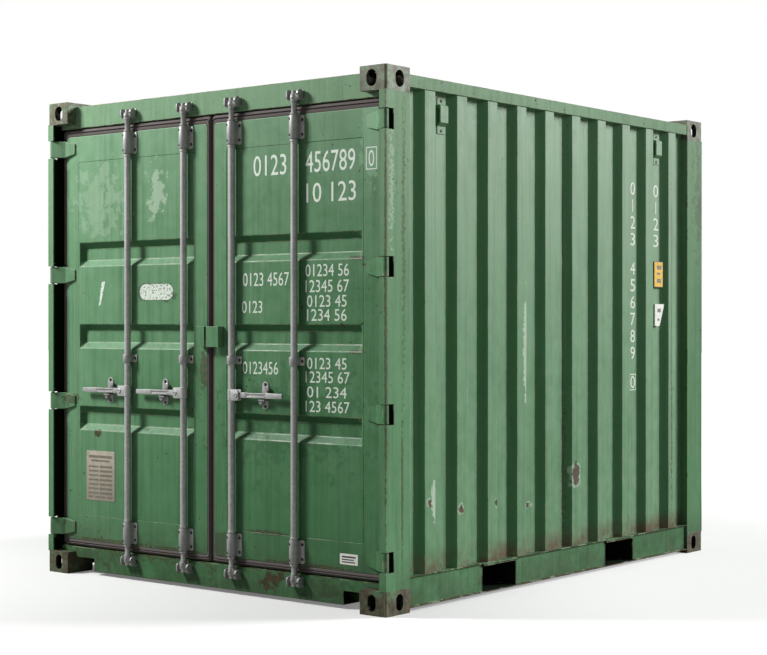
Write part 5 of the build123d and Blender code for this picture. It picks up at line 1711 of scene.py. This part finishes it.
class CONTAINER_OT_lock_gear(bpy.types.Operator):
    """Make the lock rods, handles, bearings, keepers, catches and their bolts"""

    bl_idname = "container.lock_gear"
    bl_label = "Lock gear"

    def execute(self, context):
        sizes = context.scene.container_gear
        zinc = material_named("weathered_zinc", zinc_material)
        worn = material_named("worn_handles", zinc_material, shade=0.92)
        stained = material_named("stained_zinc", zinc_material, shade=0.72)
        dark = material_named("dark_bolts", label_material)
        joints = {joint["name"]: joint for joint in frame["joints"]}
        doors = {side: solids(f"{side}_rod_brackets") for side in ("left", "right")}
        levers = {joint["parent"]: joint for name, joint in joints.items() if name.startswith("handle")}
        for name, joint in joints.items():
            if name.startswith("rod"):
                side = joint["parent"].split("_")[0]
                own = [box for box in doors[side] if box[0].x < joint["pos_m"][0] < box[1].x]
                self.rod(f"lock_{joint['child']}", joint, own, levers.get(joint["child"]), sizes, zinc)
            if name.startswith("handle"):
                self.handle(joint["child"].replace("lever", "handle"), joint, sizes, worn)
        for side, boxes in doors.items():
            self.bearings(side, boxes, sizes, zinc, dark)
        self.keepers(sizes, zinc, dark)
        for side, node in (("left", "left_handle_catches"), ("right", "right_handle_catch")):
            self.catches(side, node, sizes, stained, dark)
        softened("hinge_pins", 0.001, zinc, angles=(30, 180))
        return {"FINISHED"}

    def rod_end(self, end, step, bearing, sizes):
        """Return one end of a rod's profile, from its tip to just inside its bearing."""
        outer, inner = (bearing[0].z, bearing[1].z) if step > 0 else (bearing[1].z, bearing[0].z)
        neck, rod = sizes.neck_radius, sizes.rod_radius
        hub, collar = sizes.cam_radius, sizes.collar_radius
        edge, ease = sizes.cam_edge, sizes.collar_round
        cam = end + step * sizes.neck_length
        under = cam + step * sizes.cam_height
        rows = [
            (end, neck - ease), (end + step * ease, neck), (cam, neck), (cam, hub - edge),
            (cam + step * edge, hub), (under - step * edge, hub), (under, hub - edge), (under, rod),
            (under + step * 3 * ease, rod), (under + step * 6 * ease, neck + ease / 2),
        ]
        for start, first, last in (
            (outer - step * (sizes.collar_gap + sizes.outer_collar), neck + ease / 2, rod),
            (inner + step * sizes.collar_gap, rod, rod),
        ):
            height = sizes.outer_collar if first != last else sizes.collar_height
            rows += [
                (start, first), (start, collar - ease), (start + step * ease, collar),
                (start + step * (height - ease), collar), (start + step * height, collar - ease),
                (start + step * height, last),
            ]
        return rows

    def rod(self, node, joint, boxes, lever, sizes, material):
        """Make one rod with its cams, collars and, where a handle hangs on it, its fork."""
        low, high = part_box(node)
        x, y, _ = joint["pos_m"]
        swing = 1 if x > 0 else -1
        profile = self.rod_end(low.z, 1, boxes[0], sizes)
        profile += reversed(self.rod_end(high.z, -1, boxes[-1], sizes))
        parts = [turned(profile, (x, y))]
        middle = sizes.neck_length + sizes.cam_height / 2
        nose = oval(sizes.cam_reach + sizes.cam_nose / 2, sizes.cam_nose)
        half = sizes.cam_height / 2 - sizes.cam_edge
        offset = swing * (sizes.cam_reach - (sizes.cam_reach + sizes.cam_nose / 2) / 2)
        hub, pin = sizes.cam_radius, sizes.pin_radius
        for z in (low.z + middle, high.z - middle):
            parts.append(prism(nose, -half, half, Matrix.Translation((x + offset, y, z)), 0.002))
            parts.append(knob(x, y, z, [
                (0, pin + 0.002), (hub + 0.001, pin + 0.002), (hub + 0.001, pin), (hub + 0.002, pin),
                (hub + 0.003, pin - 0.002),
            ]))
        if lever:
            parts += self.fork(x, y, swing, lever["pos_m"], sizes)
        piece = assembled(f"{node}_tube", parts, material)
        # Painted shade with grime: the cams and the rod's ends take the shade mark and are painted
        # darker.
        shade_faces(piece, lambda place, facing: not 0.17 < place.z < 2.40)
        settle(piece, [node])

    def fork(self, x, y, swing, pivot, sizes):
        """Return a rod's hub, its two ears and the bolt that the handle turns on."""
        half = sizes.fork_height / 2
        reach = abs(pivot[0] - x) + sizes.ear_end
        collar, bevel = sizes.collar_radius, 0.002
        low, high = pivot[2] - half, pivot[2] + half
        hub = [
            (low, collar - bevel), (low + bevel, collar), (high - bevel, collar), (high, collar - bevel),
        ]
        parts = [turned(hub, (x, y))]
        ear = rounded_loop(*sorted((0, swing * reach)), -half + 0.001, half - 0.001, sizes.ear_corner)
        gap = sizes.handle_thickness / 2 + sizes.ear_play
        for start in (-gap - sizes.ear_thickness, gap):
            back = pivot[1] + start + sizes.ear_thickness
            turn = Matrix.Translation((x, back, pivot[2])) @ FACING
            parts.append(prism(ear, 0, sizes.ear_thickness, turn, 0.0012))
        front, shank, head = gap + sizes.ear_thickness, sizes.bolt_radius, sizes.bolt_head
        bolt = [
            (-front - 0.004, shank), (front, shank), (front, head), (front + 0.003, head),
            (front + 0.004, head - 0.0015), (front + 0.004, head - 0.004), (front + 0.0015, head - 0.006),
        ]
        parts.append(knob(*pivot, bolt))
        return parts

    def handle(self, node, joint, sizes, material):
        """Make one flat handle: a solid root, a grooved middle and a plain, tapering grip."""
        low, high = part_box(node)
        x, y, z = joint["pos_m"]
        swing = 1 if x > 0 else -1
        tip = max(abs(high.x), abs(low.x)) * swing
        half = sizes.handle_thickness / 2
        root = sizes.handle_root / 2
        grip = tip - swing * sizes.grip_length
        waist = x + swing * (sizes.ear_end + sizes.root_length)
        turn = Matrix.Translation((0, y + half, z)) @ FACING
        bevel, taper, lap = 0.004, swing * 0.012, swing * 0.01
        rail, start_of_grip, end_of_grip = (
            height / 2 for height in (sizes.waist_height, sizes.grip_height, sizes.grip_tip)
        )
        outer = [
            (x - swing * sizes.handle_eye, bevel - root), (x - swing * (sizes.handle_eye - bevel), -root),
            (waist, -root), (waist + taper, -rail), (grip - taper, -rail), (grip, -start_of_grip),
            (tip - swing * bevel, -end_of_grip), (tip, bevel - end_of_grip),
        ]
        outline = outer + [(a, -b) for a, b in reversed(outer)]
        web = sizes.groove_depth
        parts = [prism(outline, web, 2 * half - web, turn, 0.001)]
        for start, stop, reach, top in (
            (x - swing * sizes.handle_eye, waist, root, root), (grip, tip, start_of_grip, end_of_grip),
        ):
            block = [(start, -reach), (stop, -top), (stop, top), (start, reach)]
            parts.append(prism(block, 0, 2 * half, turn, 0.003))
        inside = rail - sizes.groove_rail
        for side in (-1, 1):
            strip = [
                (waist - lap, side * rail), (grip + lap, side * rail),
                (grip + lap, side * inside), (waist - lap, side * inside),
            ]
            parts.append(prism(strip, 0, 2 * half, turn, 0.001))
        settle(assembled(f"{node}_bar", parts, material), [node])

    def bearings(self, side, boxes, sizes, zinc, dark):
        """Make a leaf's bearings and straps: a flange with a half-round housing, and their bolts."""
        parts, bolts, screws = [], [], []
        rim, play, aside = 0.0015, 0.0012, 0.010
        for low, high in boxes:
            x, z = (low.x + high.x) / 2, (low.z + high.z) / 2
            half, tall = (high.x - low.x) / 2, (high.z - low.z) / 2
            strap = tall < half / 2
            corner = sizes.flange_corner / (2 if strap else 1)
            turn = Matrix.Translation((x, high.y, z)) @ FACING
            flange = rounded_loop(-half, half, -tall, tall, corner)
            parts.append(prism(flange, 0, sizes.flange_thickness, turn, 0.0012))
            radius = sizes.housing_radius
            axis = low.y + radius
            outer, inner = [], []
            for index in range(32):
                angle = 2 * math.pi * (index + 0.5) / 32
                a, b = math.cos(angle), math.sin(angle)
                reach = radius / (max(abs(a), abs(b)) if b > 0 else 1)
                outer.append((a * reach, b * reach))
                inner.append((a * (sizes.rod_radius + play), b * (sizes.rod_radius + play)))
            body = tall - (0 if strap else rim)
            lip = [(a * 0.97, b * 0.97) for a, b in outer]
            place = Matrix.Translation((x, axis, z))
            loops = [
                [(a, b, -body) for a, b in lip], [(a, b, rim - body) for a, b in outer],
                [(a, b, body - rim) for a, b in outer], [(a, b, body) for a, b in lip],
                [(a, b, body) for a, b in inner], [(a, b, -body) for a, b in inner],
            ]
            housing = ring_form(loops)
            housing.transform(place)
            parts.append(housing)
            across = (radius + half) / 2
            rows = (0,) if strap else (-sizes.flange_bolt_rise, sizes.flange_bolt_rise)
            front = high.y - sizes.flange_thickness
            bolts += [(x + side_x * across, front, z + rise) for side_x in (-1, 1) for rise in rows]
            if not strap:
                depth = axis - math.sqrt(radius ** 2 - aside ** 2)
                screws += [(x - aside, depth, z + rise * 1.1) for rise in rows]
        piece = assembled(f"{side}_bearings", parts, zinc)
        back = boxes[0][1].y - sizes.flange_thickness - 0.001
        shade_faces(piece, lambda place, facing: place.y < back)
        settle(piece, [f"{side}_rod_brackets"])
        bolted(f"{side}_bearing_bolts", bolts, (0, -1, 0), dark, f"{side}_door", 0.0055, 0.0035)
        bolted(
            f"{side}_bearing_screws", screws, (-0.42, -0.91, 0), dark, f"{side}_door",
            0.0045, 0.002, seed=1,
        )

    def keepers(self, sizes, zinc, dark):
        """Make the keepers that the cams lock into: a plate, a thin lug and a thicker horn."""
        parts, bolts = [], []
        for low, high in solids("cam_keepers"):
            z, tall = (low.z + high.z) / 2, (high.z - low.z) / 2
            turn = Matrix.Translation((0, high.y, z)) @ FACING
            plate = rounded_loop(low.x, high.x, -tall, tall, 0.004)
            parts.append(prism(plate, 0, sizes.keeper_plate, turn, 0.001))
            depth = high.y - low.y
            for start, stop, corner in (
                (low.x, low.x + sizes.keeper_lug, 0.014), (high.x - sizes.keeper_horn, high.x, 0.020),
            ):
                arm = rounded_loop(0, depth, -tall, tall, corner, steps=6)
                turn = Matrix.Translation((0, low.y, z)) @ SIDEWAYS
                parts.append(prism(arm, start, stop, turn, 0.0015))
            horn = high.x - sizes.keeper_horn / 2
            parts.append(turned([
                (z - tall * 0.7, 0.004), (z - tall * 0.62, 0.0065),
                (z + tall * 0.62, 0.0065), (z + tall * 0.7, 0.004),
            ], (horn, low.y + 0.008), segments=16))
            bolts.append((horn, low.y, z))
        piece = assembled("keeper_brackets", parts, zinc)
        # Painted shade with grime: the whole keeper takes the shade mark and is painted darker.
        shade_faces(piece, lambda place, facing: 1)
        settle(piece, ["cam_keepers"])
        bolted("keeper_bolts", bolts, (0, -1, 0), dark, "container", 0.004, 0.001, seed=2)

    def catches(self, side, node, sizes, material, dark):
        """Make the catches: an oval plate, a body, a turned flap and a shelf under the handle."""
        parts, bolts = [], []
        tall, wide, thick = sizes.catch_plate
        long, broad, flap_thick = sizes.catch_flap
        rise, sunk, bolt_inset = sizes.flap_back, 0.001, 0.014
        angle = math.radians(90 - sizes.flap_lean)
        for low, high in solids(node):
            x, z = (low.x + high.x) / 2, (low.z + high.z) / 2
            back = high.y
            turn = Matrix.Translation((x, back, z)) @ FACING
            upright = turn @ Matrix.Rotation(math.radians(90), 4, "Z")
            parts.append(prism(oval(tall, wide), 0, thick, upright, 0.001))
            half_x, half_z = sizes.catch_body[0] / 2, sizes.catch_body[1] / 2
            body = rounded_loop(-half_x, half_x, -half_z, half_z, 0.006)
            parts.append(prism(body, 0, rise, turn, 0.002))
            leaning = turn @ Matrix.Rotation(angle, 4, "Z")
            flap = oval(long, broad)
            parts.append(prism(flap, rise - sunk, rise + flap_thick - sunk, leaning, 0.002))
            boss = [(rise, 0.013), (rise + 0.007, 0.013), (rise + 0.009, 0.010)]
            for end in (-1, 1):
                reach = end * (long / 2 - broad / 2)
                across, up = reach * math.cos(angle), reach * math.sin(angle)
                parts.append(knob(x + across, back, z + up, boss))
                bolts.append((x, back - thick, z + end * (tall / 2 - bolt_inset)))
            shelf = sizes.catch_shelf
            foot = rounded_loop(-shelf[0] / 2, shelf[0] / 2, -shelf[1] - shelf[2], -shelf[1], 0.002)
            parts.append(prism(foot, 0, back - low.y, turn, 0.001))
        settle(assembled(f"{side}_catches", parts, material), [node])
        bolted(f"{side}_catch_bolts", bolts, (0, -1, 0), dark, f"{side}_door", 0.006, 0.004, seed=3)


class CONTAINER_PT_panel(bpy.types.Panel):
    """List the container's steps in the sidebar"""

    bl_label = "Container"
    bl_idname = "CONTAINER_PT_panel"
    bl_space_type = "VIEW_3D"
    bl_region_type = "UI"
    bl_category = "Container"

    def draw(self, context):
        for name, kind in GROUPS.items():
            for setting in kind.__annotations__:
                self.layout.prop(getattr(context.scene, name), setting)
        for step in STEPS:
            self.layout.operator(step.bl_idname)


STEPS = (
    CONTAINER_OT_stage, CONTAINER_OT_steel_frame, CONTAINER_OT_sheets,
    CONTAINER_OT_doors, CONTAINER_OT_markings, CONTAINER_OT_lock_gear,
)
GROUPS = {
    "container_paint": PaintSettings, "container_sheets": SheetSettings,
    "container_gear": GearSettings, "container_stage": StageSettings,
}


def register():
    """Register the settings, the operators and the panel."""
    for kind in (*GROUPS.values(), *STEPS, CONTAINER_PT_panel):
        bpy.utils.register_class(kind)
    for name, kind in GROUPS.items():
        setattr(bpy.types.Scene, name, bpy.props.PointerProperty(type=kind))


def unregister():
    """Remove the panel, the operators and the settings."""
    for name in GROUPS:
        delattr(bpy.types.Scene, name)
    for kind in reversed((*GROUPS.values(), *STEPS, CONTAINER_PT_panel)):
        bpy.utils.unregister_class(kind)


def main():
    """Run every step in order."""
    register()
    for step in STEPS:
        group, name = step.bl_idname.split(".")
        getattr(getattr(bpy.ops, group), name)()


if __name__ == "__main__":
    main()
